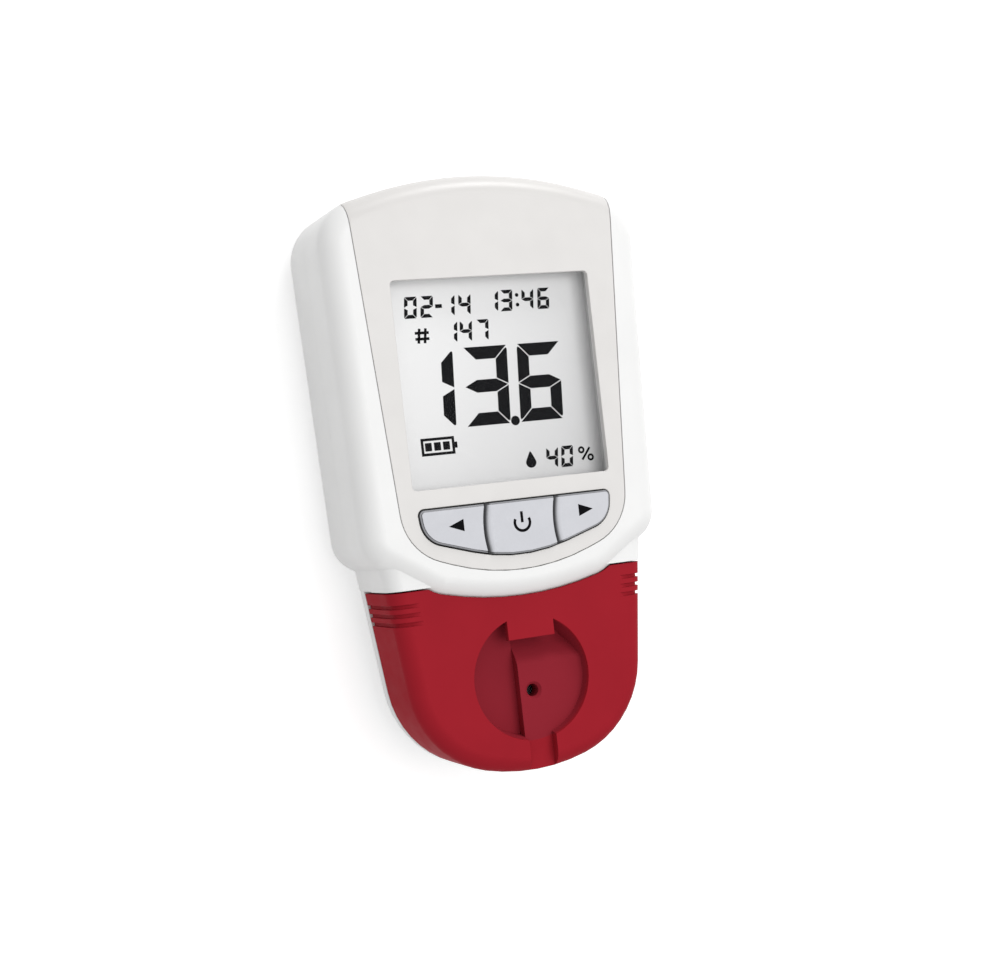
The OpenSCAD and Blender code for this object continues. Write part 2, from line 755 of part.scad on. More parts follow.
module rear_housing() {
  color(shell_white)
  difference() {
    union() {
      difference() {
        union() {
          keeled(head, back_z, split_z, back_edge_r);
          keeled(waist, tail_under_z, split_z, tail_low_r);
          difference() {
            tail_tray();
            under_front();
          }
        }
        head_cavity(floor_z, split_z + 1, wall);
        difference() {
          slab(inset(tail, tail_in + tail_wall), tail_floor_z, face_z);
          slab(head, 0, split_z);
          slab(waist, 0, split_z);
        }
      }
      rear_rim();
      block(-door_w / 2, door_w / 2, bay_low_y - bay_wall, bay_top_y + bay_wall,
        back_z + eps, bay_ceil_z + bay_wall);
      door_cover();
      for (p = screw_places()) {
        rod(p[0], p[1], floor_z - eps, screw_seat_z + well_wall, well_d + 2 * well_wall);
        rod(p[0], p[1], floor_z - eps, split_z - seam, boss_d);
      }
      for (s = [-1, 1])
        rod(s * deck_screw_x, deck_screw_y, tail_under_z + 1, deck_z, small_boss_d);
    }
    block(-bay_w / 2, bay_w / 2, bay_low_y, bay_top_y, back_z - 1, bay_ceil_z);
    door_path();
    for (p = screw_places()) {
      rod(p[0], p[1], back_z - 1, screw_seat_z, well_d);
      rod(p[0], p[1], back_z, split_z + 1, screw_d + 0.3);
    }
    for (s = [-1, 1])
      rod(s * deck_screw_x, deck_screw_y, deck_z - deck_screw_l, deck_z + 1, small_screw_d);
    for (y = foot_ys, s = [-1, 1])
      rod(s * foot_x, y, back_z - 1, back_z + foot_pocket, foot_d);
    side_holes();
    ribbon_slot();
  }
}

module ribbon_slot() {
  channel_block(ribbon_w + 2, chin_y - 1, chin_y + wall + 1, ribbon_low_z - 1.2,
    ribbon_low_z + 1.2);
}

module fascia_plate() {
  color(plate_grey)
  difference() {
    intersection() {
      crowned(head, split_z, face_z, front_edge_r);
      slab(plate, face_z - plate_lip_h, face_z + 1);
    }
    crowned(inset(head, plate_t), split_z - 1, plate_in_z, front_edge_r - plate_t);
    window_frame(window_w, window_h, plate_in_z - 1, face_z + 1, window_r);
    slab(keys, plate_in_z - 1, face_z + 1);
  }
}

module display_window() {
  color([0.85, 0.9, 0.9])
  window_frame(window_w + 2 * lens_lap, window_h + 2 * lens_lap, lens_z, plate_in_z, lens_r);
}

module display_gasket() {
  color(dark)
  difference() {
    window_frame(lcd_w - 2 * lcd_slack, lcd_h - 2 * lcd_slack, lcd_top_z, face_in_z, window_r);
    window_frame(window_w + 2 * window_step, window_h + 2 * window_step,
      lcd_top_z - 1, face_in_z + 1, window_r);
  }
}

module lcd_glass() {
  color([0.8, 0.82, 0.8])
  window_frame(lcd_w - 2 * lcd_slack, lcd_h - 2 * lcd_slack, lcd_z, lcd_top_z, 0.5);
}

module lcd_frame() {
  color([0.9, 0.9, 0.9])
  difference() {
    window_frame(lcd_frame_w, lcd_frame_h, board_top_z, lcd_rim_z, lcd_frame_t);
    window_frame(lcd_w, lcd_h, lcd_z, lcd_top_z + 1, 0.5);
    contact_bars(lcd_slack, board_top_z - 1, lcd_z + 1);
    window_frame(lcd_w - 10, lcd_h - 12, board_top_z - 1, lcd_top_z, 1);
  }
}

module contact_bars(grow, z0, z1) {
  x = lcd_w / 2 - contact_strip_in + grow;
  y = contact_strip_w / 2 + grow;
  for (s = [-1, 1])
    translate([0, window_y + s * (lcd_h / 2 - contact_strip_in), 0])
      block(-x, x, -y, y, z0, z1);
}

module contact_strips() {
  color([0.85, 0.5, 0.55]) contact_bars(0, board_top_z, lcd_z);
}

module main_board() {
  color(board_green)
  difference() {
    slab(inset(head, board_margin), board_z, board_top_z);
    for (p = screw_places())
      rod(p[0], p[1], board_z - 1, board_top_z + 1, boss_d + 0.6);
    for (p = board_screw_places)
      rod(p[0], p[1], board_z - 1, board_top_z + 1, small_screw_d + 0.2);
  }
}

module microcontroller() {
  color(dark)
  translate([-parts_x - chip_w / 2, parts_y - chip_w / 2, board_z - chip_t])
    cube([chip_w, chip_w, chip_t]);
}

module buzzer() {
  color(dark)
  difference() {
    rod(parts_x, parts_y, board_z - buzzer_h, board_z, buzzer_d);
    rod(parts_x, parts_y, board_z - buzzer_h - 1, board_z - buzzer_h + 0.6, 1.6);
  }
}

module board_components() {
  color([0.35, 0.3, 0.25])
  for (i = [0 : 3], x = [-2.6, 2.6])
    translate([x, parts_y + 0.6 + i * 1.9, 0])
    block(-0.8, 0.8, -0.4, 0.4, board_z - 0.6, board_z);
}

module keypad_mat() {
  color([0.7, 0.72, 0.75])
  union() {
    slab(inset(keys, 2 * key_gap), board_top_z, board_top_z + mat_t);
    for (x = key_names_x)
      translate([x, keys_mid_y, board_top_z + mat_t - eps])
      cylinder(h = dome_top_z - board_top_z - mat_t + eps, d1 = dome_d, d2 = key_stem_d);
  }
}

// Everything between the two curved key edges at x0 and x1, or outside one of them
module bow(x, grow) {
  translate([x + key_bow_r, keys_mid_y, key_low_z - 1])
    cylinder(h = far, r = key_bow_r + grow, $fn = 96);
}

module key_blank() {
  slab(inset(keys, key_gap), key_flange_top_z - eps, key_top_z - key_edge);
  slab(inset(keys, key_gap + key_edge), key_top_z - key_edge - eps, key_top_z);
  slab(inset(keys, -key_flange), key_low_z, key_flange_top_z);
}

module left_button() {
  color(key_grey)
  difference() {
    key_blank();
    bow(-key_split, key_gap / 2);
  }
}

module power_button() {
  color(key_grey)
  difference() {
    intersection() {
      key_blank();
      bow(-key_split, -key_gap / 2);
    }
    bow(key_split, key_gap / 2);
  }
}

module right_button() {
  color(key_grey)
  intersection() {
    key_blank();
    bow(key_split, -key_gap / 2);
  }
}

// Side view of the channel's floor, from its open end to the blind end under the bridge
module floor_cut(x1) {
  run = bridge_reach - ramp_start;
  steps = 6;
  ramp = [for (k = [1 : steps])
    let (t = k / steps)
    [dish_y + ramp_start + t * run, channel_z - ramp_drop * 0.8 * t * t * (3 - 2 * t)]];
  points = concat(
    [[tip_y - 5, tail_z + 5], [tip_y - 5, channel_z], [dish_y + ramp_start, channel_z]],
    ramp,
    [[dish_y + channel_end, ramp_z], [dish_y + channel_end, tail_z + 5]]);
  translate([channel_x - channel_w / 2, 0, 0]) rotate([90, 0, 90])
    linear_extrude(x1 - channel_x + channel_w / 2) polygon(points);
}

module dish(r_top, r_low, z_low) {
  translate([0, dish_y, z_low])
    cylinder(h = tail_z - z_low + eps, r1 = r_low, r2 = r_top, $fn = 96);
}

// Grip grooves that climb the side walls, cross the rounded edge and fade out on the top
module grip_grooves() {
  r = tail_edge_r;
  floor_line = [for (k = [edge_steps : -1 : 0])
    let (a = k * 90 / edge_steps)
    [(r - rib_h) * cos(a) - r, tail_z - r + (r - rib_h) * sin(a)]];
  outline = concat([[-rib_h, 0], [1, 0], [1, face_z], [-rib_reach, face_z], [-rib_reach, tail_z]],
    floor_line);
  for (s = [0, 1], i = [0 : rib_n - 1])
    let (y = tail_top_y - rib_start - i * rib_pitch)
    mirror([s, 0, 0]) translate([tail_x(y), y + rib_w / 2, 0]) rotate([90, 0, 0])
      linear_extrude(rib_w) polygon(outline);
}

// Low ridges on the inner sides that hold the strip holder on the upright wall
module snap_ridges() {
  z = holder_low_z + snap_w;
  intersection() {
    difference() {
      slab(inset(tail, holder_wall - snap_h), z, z + snap_w);
      slab(inset(tail, holder_wall + snap_h), z - 1, z + 2);
    }
    for (y = [tail_top_y - snap_l, tail_top_y - snap_l - snap_pitch])
      block(-far, far, y - snap_l / 2, y + snap_l / 2, 0, face_z);
  }
}

// A block across the channel, which lies beside the middle
module channel_block(w, y0, y1, z0, z1) {
  block(channel_x - w / 2, channel_x + w / 2, y0, y1, z0, z1);
}

module strip_channel() {
  low_r = dish_r - dish_draft;
  color(holder_red)
  difference() {
    crowned(tail, holder_low_z, tail_z, tail_edge_r);
    grip_grooves();
    // The hollow under the top, with the moulded recess left standing in it
    difference() {
      slab(inset(tail, holder_wall), holder_low_z - 1, tail_z - tail_top_t);
      dish(dish_r + dish_wall, dish_r + dish_wall, mould_z);
      channel_block(channel_w + 2 * dish_wall, tip_y, dish_y, channel_z - dish_wall, tail_z);
      channel_block(bridge_w + 2 * dish_wall, dish_y, dish_y + channel_end + dish_wall,
        mould_z, tail_z);
      slab(inset(head, -tail_gap - holder_wall), mould_z, tail_z);
      slab(inset(waist, -tail_gap - holder_wall), mould_z, tail_z);
      snap_ridges();
    }
    // The hollow under the crescent and the channel's raised floor
    difference() {
      dish(dish_r, dish_r, mould_z - 3);
      block(-far, far, tip_y - 5, top_y, under_dish_z, face_z);
      block(channel_x - channel_w / 2 - dish_wall, far, dish_y, top_y, mould_z - 4, face_z);
    }
    // The crescent, left of the channel
    intersection() {
      dish(dish_r, low_r, crescent_z);
      block(-far, channel_x - channel_w / 2, tip_y, top_y, 0, face_z);
      bridge_clear();
    }
    // The channel's floor and the part of the recess to its right
    intersection() {
      floor_cut(far);
      dish(dish_r, low_r, channel_z - ramp_drop);
      bridge_clear();
    }
    intersection() {
      floor_cut(channel_x + channel_w / 2);
      block(-far, far, tip_y - 6, dish_y, 0, face_z + 5);
    }
    // The pocket under the bridge
    intersection() {
      floor_cut(channel_x + channel_w / 2);
      block(-far, far, dish_y, top_y, 0, tail_z - bridge_t);
    }
    rod(channel_x, eye_y, 0, face_z, eye_d);
    translate([channel_x, eye_y, channel_z - eye_bevel])
      cylinder(h = eye_bevel + eps, d1 = eye_d, d2 = eye_d + 2 * eye_bevel);
    under_front_gap();
  }
}

// What the bridge leaves open
module bridge_clear() {
  difference() {
    block(-far, far, tip_y - 5, top_y, 0, face_z + 5);
    channel_block(bridge_w, dish_y + bridge_reach, top_y, tail_z - bridge_t, face_z + 6);
  }
}

module under_front_gap() {
  crowned(inset(head, -tail_gap), 0, face_z + tail_gap, front_edge_r + tail_gap);
  shoulder(tail_gap, 0, waist_z + tail_gap, tail_edge_r + tail_gap);
}

module sensor_deck() {
  color([0.8, 0.8, 0.8])
  difference() {
    slab(inset(tail, tail_in), deck_z, deck_top_z);
    slab(inset(head, -seam), 0, face_z);
    slab(inset(waist, -seam), 0, face_z);
    rod(channel_x, eye_y, 0, face_z, nose_d + 0.3);
    for (s = [-1, 1])
      rod(s * deck_screw_x, deck_screw_y, 0, face_z, small_screw_d + 0.2);
  }
}

module optics_block() {
  color(dark)
  translate([channel_x, 0, 0])
  difference() {
    union() {
      block(-optics_w / 2, optics_w / 2, eye_y - optics_l / 2, eye_y + optics_l / 2,
        sensor_top_z, deck_z);
      rod(0, eye_y, deck_z - 1, nose_z + disc_t, nose_d);
    }
    rod(0, eye_y, sensor_top_z - 1, nose_z + disc_t + 1, eye_d);
    rod(0, eye_y, nose_z, nose_z + disc_t + 1, disc_d);
    rod(0, eye_y, sensor_top_z - 1, sensor_top_z + 1.2, 3.4);
    for (s = [-1, 1]) {
      rod(s * emitter_x, eye_y, sensor_top_z - 1, sensor_top_z + 1.2, 3);
      translate([s * emitter_x, eye_y, sensor_top_z])
        rotate([0, -s * atan(emitter_x / (nose_z - sensor_top_z)), 0])
        cylinder(h = norm([emitter_x, nose_z - sensor_top_z]), d = 1.4);
    }
  }
}

module sensor_window() {
  color([0.8, 0.9, 0.95])
  rod(channel_x, eye_y, nose_z, nose_z + disc_t, disc_d);
}

module light_emitters() {
  color([0.95, 0.9, 0.6])
  for (s = [-1, 1])
    translate([channel_x + s * emitter_x, eye_y, 0])
    block(-emitter_w / 2, emitter_w / 2, -emitter_w / 2, emitter_w / 2,
      sensor_top_z, sensor_top_z + 0.8);
}

module photodiode() {
  color([0.2, 0.2, 0.25])
  translate([channel_x, eye_y, 0])
    block(-1.1, 1.1, -1.1, 1.1, sensor_top_z, sensor_top_z + 0.9);
}

module sensor_board() {
  color(board_green)
  channel_block(sensor_board_w, sensor_board_y - sensor_board_l / 2,
    sensor_board_y + sensor_board_l / 2, sensor_board_z, sensor_top_z);
}

connector_w = ribbon_w + 2;
low_connector_y = sensor_board_y + sensor_board_l / 2 - 1.6;
high_connector_y = max(chin_y + connector_up, low_connector_y + connector_l + ribbon_run);
ribbon_low_z = sensor_top_z + 0.8;
ribbon_high_z = board_z - 0.9;

module ribbon_connectors() {
  color([0.85, 0.83, 0.75])
  difference() {
    union() {
      channel_block(connector_w, low_connector_y - connector_l / 2,
        low_connector_y + connector_l / 2, sensor_top_z, sensor_top_z + connector_h);
      channel_block(connector_w, high_connector_y - connector_l / 2,
        high_connector_y + connector_l / 2, board_z - connector_h, board_z);
    }
    channel_block(ribbon_w, low_connector_y - ribbon_in, low_connector_y + connector_l,
      ribbon_low_z - ribbon_t / 2, ribbon_low_z + ribbon_t / 2);
    channel_block(ribbon_w, high_connector_y - connector_l,
      high_connector_y + ribbon_in, ribbon_high_z - ribbon_t / 2, ribbon_high_z + ribbon_t / 2);
  }
}

// The flat cable's side view: a level run out of each connector and a smooth fall between them
module sensor_ribbon() {
  fall_from = max(chin_y + wall, low_connector_y + connector_l / 2) + ribbon_level;
  run = high_connector_y - connector_l / 2 - ribbon_level - fall_from;
  rise = ribbon_high_z - ribbon_low_z;
  steps = 10;
  // Each row is a point of the middle line and the angle of the line there
  mid = concat([[low_connector_y - ribbon_in, ribbon_low_z, 0]],
    [for (k = [0 : steps])
      let (t = k / steps)
      [fall_from + t * run, ribbon_low_z + rise * t * t * (3 - 2 * t),
        atan2(6 * rise * t * (1 - t), run)]],
    [[high_connector_y + ribbon_in, ribbon_high_z, 0]]);
  side = [for (s = [1, -1]) [for (p = mid)
    [p[0] - s * ribbon_t / 2 * sin(p[2]), p[1] + s * ribbon_t / 2 * cos(p[2])]]];
  color([0.9, 0.85, 0.6])
  translate([channel_x - ribbon_w / 2, 0, 0]) rotate([90, 0, 90]) linear_extrude(ribbon_w)
    polygon(concat(side[0], [for (i = [steps + 2 : -1 : 0]) side[1][i]]));
}

function cell_x(i) = (i - (cell_n - 1) / 2) * cell_pitch;
function cell_up(i) = i % 2 == 0 ? 1 : -1;

// A cell whose cap points to the display end where up is 1 and to the strip end where up is -1
module cell(i) {
  up = cell_up(i);
  body_l = cell_l - cap_l;
  cap_end = bay_y + up * (bay_l / 2 - contact_t - cell_slack);
  translate([cell_x(i), cap_end - up * cell_l, cell_z])
  rotate([up > 0 ? -90 : 90, 0, 0]) {
    cylinder(h = body_l, d = cell_d);
    cylinder(h = cell_l, d = cap_d);
  }
}

module battery_left() {
  color([0.25, 0.3, 0.35]) cell(0);
}

module battery_middle() {
  color([0.25, 0.3, 0.35]) cell(1);
}

module battery_right() {
  color([0.25, 0.3, 0.35]) cell(2);
}

module battery_contacts() {
  color(metal)
  for (i = [0 : cell_n - 1], s = [-1, 1])
    translate([cell_x(i), bay_y + s * (bay_l / 2 - contact_t / 2), cell_z])
    block(-contact_w / 2, contact_w / 2, -contact_t / 2, contact_t / 2, -contact_w / 2, contact_w / 2);
}

module battery_springs() {
  color(metal)
  for (i = [0 : cell_n - 1]) {
    up = cell_up(i);
    taper = spring_d - spring_tip_d;
    translate([cell_x(i), bay_y - up * (bay_l / 2 - contact_t), cell_z])
    rotate([up > 0 ? -90 : 90, 0, 0])
    difference() {
      cylinder(h = spring_l, d1 = spring_d, d2 = spring_tip_d);
      translate([0, 0, -spring_l / 2])
        cylinder(h = 2 * spring_l, d1 = spring_in_d + taper / 2, d2 = spring_in_d - 1.5 * taper);
    }
  }
}

module battery_door() {
  color(shell_white)
  difference() {
    union() {
      intersection() {
        keeled(head, back_z, split_z, back_edge_r);
        block(-door_w / 2, door_w / 2, door_low_y, door_top_y, back_z, floor_z);
      }
      for (s = [-1, 1])
        block(s * door_w / 2 - door_rib_w, s * door_w / 2 + door_rib_w,
          door_low_y + 1, top_y - rail_from_top, floor_z - door_rib_h, floor_z);
    }
    for (i = [0 : 3])
      translate([0, door_low_y + 5 + i * 1.8, back_z])
      block(-7, 7, -0.4, 0.4, -eps, 0.5);
  }
}

module usb_socket() {
  x1 = side_x(usb_y) - 0.6;
  color(metal)
  difference() {
    block(x1 - usb_l, x1, usb_y - usb_w / 2, usb_y + usb_w / 2, usb_z, usb_z + usb_h);
    difference() {
      block(x1 - usb_l + 1, x1 + 1, usb_y - usb_w / 2 + 0.4, usb_y + usb_w / 2 - 0.4,
        usb_z + 0.4, usb_z + usb_h - 0.4);
      block(x1 - usb_l, x1 - 1.4, usb_y - usb_w / 2 + 1.6, usb_y + usb_w / 2 - 1.6,
        usb_z + usb_h / 2 - 0.4, usb_z + usb_h / 2 + 0.4);
    }
  }
}

code_x1 = side_x(code_y);
code_socket_x1 = code_x1 - wall - code_gap;
code_x0 = code_x1 - code_l;

module code_socket() {
  g = code_gap;
  color(dark)
  difference() {
    block(code_x0 - g - code_wall, code_socket_x1, code_y - code_w / 2 - g - code_wall,
      code_y + code_w / 2 + g + code_wall, code_z - g - code_wall, board_z);
    block(code_x0 - g, code_x1 + 1, code_y - code_w / 2 - g, code_y + code_w / 2 + g,
      code_z - g, code_z + code_h + g);
  }
}

module code_key() {
  color([0.3, 0.35, 0.6])
  difference() {
    block(code_x0, code_x1 + code_proud, code_y - code_w / 2, code_y + code_w / 2,
      code_z, code_z + code_h);
    // Contact pads at the inner end and a finger notch at the outer end
    for (i = [-1.5 : 1.5])
      translate([code_x0, code_y + i * code_w / 5, 0])
      block(-eps, 4, -0.6, 0.6, code_z + code_h - 0.15, code_z + code_h + 1);
    block(code_x1 + code_proud / 2, code_x1 + code_proud + 1, code_y - 2, code_y + 2,
      code_z - 1, code_z + code_h + 1);
  }
}

module housing_screws() {
  color(metal)
  for (p = screw_places())
    difference() {
      union() {
        rod(p[0], p[1], screw_head_z, screw_seat_z, screw_head_d);
        rod(p[0], p[1], screw_seat_z - eps, screw_seat_z + screw_l, screw_d);
      }
      for (a = [0, 90])
        translate([p[0], p[1], screw_head_z]) rotate([0, 0, a])
        block(-1.1, 1.1, -0.25, 0.25, -1, 0.8);
    }
}

module small_screw(length) {
  difference() {
    union() {
      translate([0, 0, -small_head_h]) cylinder(h = small_head_h, d = small_head_d);
      translate([0, 0, -small_head_h / 2])
        cylinder(h = small_head_h / 2 + length, d = small_screw_d);
    }
    for (a = [0, 90])
      translate([0, 0, -small_head_h]) rotate([0, 0, a]) block(-0.9, 0.9, -0.2, 0.2, -1, 0.4);
  }
}

module board_screws() {
  color(metal)
  for (p = board_screw_places)
    translate([p[0], p[1], board_z]) small_screw(board_screw_l);
}

module deck_screws() {
  color(metal)
  for (s = [-1, 1])
    translate([s * deck_screw_x, deck_screw_y, deck_top_z]) rotate([180, 0, 0])
    small_screw(deck_screw_l);
}

module rubber_feet() {
  color(dark)
  for (y = foot_ys, s = [-1, 1])
    rod(s * foot_x, y, 0, back_z + foot_pocket, foot_d - 0.1);
}

front_housing();
rear_housing();
fascia_plate();
display_window();
display_gasket();
lcd_glass();
lcd_frame();
contact_strips();
main_board();
microcontroller();
buzzer();
board_components();
keypad_mat();
left_button();
power_button();
right_button();
strip_channel();
sensor_deck();
optics_block();
sensor_window();
light_emitters();
photodiode();
sensor_board();
sensor_ribbon();
ribbon_connectors();
battery_left();
battery_middle();
battery_right();
battery_contacts();
battery_springs();
battery_door();
usb_socket();
code_socket();
code_key();
housing_screws();
board_screws();
deck_screws();
rubber_feet();
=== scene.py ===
"""Looks of a hand-held hemoglobin meter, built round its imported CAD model."""

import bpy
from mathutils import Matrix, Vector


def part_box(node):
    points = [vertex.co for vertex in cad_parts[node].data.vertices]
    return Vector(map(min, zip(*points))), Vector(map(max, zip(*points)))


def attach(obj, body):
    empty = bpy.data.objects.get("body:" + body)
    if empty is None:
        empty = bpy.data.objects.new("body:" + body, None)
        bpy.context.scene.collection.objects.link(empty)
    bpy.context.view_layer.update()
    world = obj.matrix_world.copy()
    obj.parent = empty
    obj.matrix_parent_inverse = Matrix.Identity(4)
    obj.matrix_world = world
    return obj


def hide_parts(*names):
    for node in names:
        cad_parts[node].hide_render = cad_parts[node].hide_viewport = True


bl_info = {
    "name": "Hemoglobin Meter Looks",
    "version": (1, 0, 0),
    "blender": (4, 5, 0),
    "location": "View3D > Sidebar > Meter",
    "description": "Plastics, display figures, keys and studio for a hand-held hemoglobin meter",
    "category": "Object",
}

import math

import bmesh
import bpy
from bpy.props import FloatProperty, FloatVectorProperty, PointerProperty
from mathutils import Matrix, Vector

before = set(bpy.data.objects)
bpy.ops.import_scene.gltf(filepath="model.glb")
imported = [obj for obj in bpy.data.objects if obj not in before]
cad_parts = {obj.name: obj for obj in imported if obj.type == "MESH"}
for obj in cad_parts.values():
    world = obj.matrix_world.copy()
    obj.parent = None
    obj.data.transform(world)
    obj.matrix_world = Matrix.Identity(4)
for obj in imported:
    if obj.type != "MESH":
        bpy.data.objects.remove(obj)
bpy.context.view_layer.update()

MM = 0.001
# Two points this close count as one
NEAR = 0.001 * MM
# Length of one wave of the wave texture at a scale of 1
WAVE_LENGTH = math.pi / 10


# Settings

class MeterPlastics(bpy.types.PropertyGroup):
    shell_colour: FloatVectorProperty(
        name="Shell", description="White of the two housing halves",
        subtype="COLOR", size=3, min=0, max=1, default=(0.84, 0.84, 0.835))
    plate_colour: FloatVectorProperty(
        name="Front plate", description="Warm light grey of the front plate",
        subtype="COLOR", size=3, min=0, max=1, default=(0.684, 0.668, 0.653))
    key_colour: FloatVectorProperty(
        name="Keys", description="Bluish grey of the three keys",
        subtype="COLOR", size=3, min=0, max=1, default=(0.585, 0.592, 0.628))
    holder_colour: FloatVectorProperty(
        name="Strip holder", description="Red of the strip holder",
        subtype="COLOR", size=3, min=0, max=1, default=(0.335, 0.0155, 0.0255))
    # Painted shade: a darker, duller red for the sunk faces inside the strip holder's round recess
    recess_shade_colour: FloatVectorProperty(
        name="Recess", description="Duller red inside the strip holder's round recess",
        subtype="COLOR", size=3, min=0, max=1, default=(0.275, 0.02, 0.032))
    door_colour: FloatVectorProperty(
        name="Battery door", description="White of the battery door",
        subtype="COLOR", size=3, min=0, max=1, default=(0.82, 0.82, 0.815))
    grain: FloatProperty(
        name="Grain", description="Size of the fine moulded grain",
        subtype="DISTANCE", unit="LENGTH", default=0.28 * MM, min=0.05 * MM, max=2 * MM)
    edge: FloatProperty(
        name="Edge", description="Radius at which moulded edges catch the light",
        subtype="DISTANCE", unit="LENGTH", default=0.18 * MM, min=0, max=1 * MM)
    seam_roll: FloatProperty(
        name="Seam", description="Rounding of the front plate's edges along its seams",
        subtype="DISTANCE", unit="LENGTH", default=0.14 * MM, min=0.05 * MM, max=0.2 * MM)


class MeterKeys(bpy.types.PropertyGroup):
    edge_roll: FloatProperty(
        name="Edge", description="Rounding along the keys' outer edges",
        subtype="DISTANCE", unit="LENGTH", default=0.18 * MM, min=0.1 * MM, max=0.5 * MM)
    divider_reach: FloatProperty(
        name="Divider", description="Width of the slope where a key starts beside its left neighbour",
        subtype="DISTANCE", unit="LENGTH", default=1.5 * MM, min=0.8 * MM, max=2.5 * MM)
    divider_drop: FloatProperty(
        name="Divider drop", description="How far that slope goes down",
        subtype="DISTANCE", unit="LENGTH", default=0.75 * MM, min=0.1 * MM, max=0.9 * MM)
    mark_colour: FloatVectorProperty(
        name="Marks", description="Printed marks on the keys",
        subtype="COLOR", size=3, min=0, max=1, default=(0.002, 0.002, 0.003))
    power_radius: FloatProperty(
        name="Power ring", description="Middle radius of the power mark's ring",
        subtype="DISTANCE", unit="LENGTH", default=1.5 * MM, min=1 * MM, max=2 * MM)
    mark_stroke: FloatProperty(
        name="Stroke", description="Width of the power mark's lines",
        subtype="DISTANCE", unit="LENGTH", default=0.52 * MM, min=0.3 * MM, max=0.8 * MM)
    arrow_length: FloatProperty(
        name="Arrow", description="Length of the two arrows",
        subtype="DISTANCE", unit="LENGTH", default=2.9 * MM, min=1.5 * MM, max=4 * MM)


class MeterDisplay(bpy.types.PropertyGroup):
    # Painted light and shade: the display's ground is painted lighter at its upper left and darker at its
    # lower right
    lit_corner_colour: FloatVectorProperty(
        name="Lit corner", description="Ground of the display at its upper left",
        subtype="COLOR", size=3, min=0, max=1, default=(0.92, 0.92, 0.92))
    shaded_corner_colour: FloatVectorProperty(
        name="Far corner", description="Ground of the display at its lower right",
        subtype="COLOR", size=3, min=0, max=1, default=(0.58, 0.58, 0.585))
    figure_colour: FloatVectorProperty(
        name="Figures", description="Darkened segments of the display",
        subtype="COLOR", size=3, min=0, max=1, default=(0.002, 0.002, 0.003))
    large_height: FloatProperty(
        name="Large figures", description="Height of the measured value",
        subtype="DISTANCE", unit="LENGTH", default=14.6 * MM, min=10 * MM, max=16 * MM)
    large_width: FloatProperty(
        name="Large figure width", description="Width of one large figure",
        subtype="DISTANCE", unit="LENGTH", default=8.9 * MM, min=6 * MM, max=9.2 * MM)
    large_stroke: FloatProperty(
        name="Large stroke", description="Width of a large figure's segments",
        subtype="DISTANCE", unit="LENGTH", default=2.5 * MM, min=1.5 * MM, max=2.8 * MM)
    small_height: FloatProperty(
        name="Small figures", description="Height of the small figures",
        subtype="DISTANCE", unit="LENGTH", default=4.0 * MM, min=2.5 * MM, max=4.2 * MM)
    small_width: FloatProperty(
        name="Small figure width", description="Width of one small figure",
        subtype="DISTANCE", unit="LENGTH", default=2.5 * MM, min=1.6 * MM, max=2.8 * MM)
    small_stroke: FloatProperty(
        name="Small stroke", description="Width of a small figure's segments",
        subtype="DISTANCE", unit="LENGTH", default=0.76 * MM, min=0.4 * MM, max=0.8 * MM)


class MeterStudio(bpy.types.PropertyGroup):
    floor_colour: FloatVectorProperty(
        name="Floor", description="Colour of the floor",
        subtype="COLOR", size=3, min=0, max=1, default=(0.82, 0.82, 0.82))
    floor_lift: FloatProperty(
        name="Floor lift", description="Light added to the floor where the camera sees it",
        default=0.44, min=0, max=1)
    world_strength: FloatProperty(
        name="Sky", description="Strength of the even light from all sides",
        default=0.62, min=0, max=1)
    key_power: FloatProperty(
        name="Main lamp", description="Power of the large lamp above the meter",
        subtype="POWER", unit="POWER", default=1.95, min=0, max=50)
    key_size: FloatProperty(
        name="Main lamp size", description="Edge length of the large lamp",
        subtype="DISTANCE", unit="LENGTH", default=0.5, min=0.1, max=2)
    back_power: FloatProperty(
        name="Back lamp", description="Power of the low lamp behind the arched end",
        subtype="POWER", unit="POWER", default=1.3, min=0, max=50)
    lens: FloatProperty(
        name="Lens", description="Focal length of the camera in millimetres",
        default=57.6, min=20, max=200)


# Materials

def new_material(name):
    material = bpy.data.materials.new(name)
    material.use_nodes = True
    return material, material.node_tree, material.node_tree.nodes["Principled BSDF"]


def add(tree, kind, links=(), **values):
    """Adds a node, sets its attributes, and links or sets its inputs."""
    node = tree.nodes.new(kind)
    for key, value in values.items():
        setattr(node, key, value)
    for socket, value in dict(links).items():
        if isinstance(value, bpy.types.NodeSocket):
            tree.links.new(value, node.inputs[socket])
        else:
            node.inputs[socket].default_value = value
    return node


def place(tree):
    return add(tree, "ShaderNodeTexCoord").outputs["Object"]


def scaled(tree, where, scale):
    """Coordinates stretched along each axis; an axis scaled by 0 carries no pattern."""
    return add(tree, "ShaderNodeMapping", {"Vector": where, "Scale": scale}).outputs["Vector"]


def noise(tree, where, size, detail=2.0):
    """Noise whose features are about size metres wide."""
    return add(tree, "ShaderNodeTexNoise", {
        "Vector": where, "Scale": 1 / size, "Detail": detail, "Roughness": 0.5}).outputs["Fac"]


def ramp(tree, fac, stops):
    node = add(tree, "ShaderNodeValToRGB", {"Fac": fac})
    elements = node.color_ramp.elements
    elements[0].position, elements[1].position = stops[0][0], stops[-1][0]
    elements[0].color, elements[1].color = (*stops[0][1], 1), (*stops[-1][1], 1)
    for position, colour in stops[1:-1]:
        elements.new(position).color = (*colour, 1)
    return node.outputs["Color"]


def spread(colour, part):
    """The colour made lighter by a share of itself, or darker where the share is below 0."""
    return [min(1, c * (1 + part)) for c in colour]


def span(tree, value, low, high, at=(0.3, 0.7)):
    """Maps a value from its own range, by default that of a noise, to low and high."""
    return add(tree, "ShaderNodeMapRange", {
        "Value": value, "From Min": at[0], "From Max": at[1],
        "To Min": low, "To Max": high}).outputs["Result"]


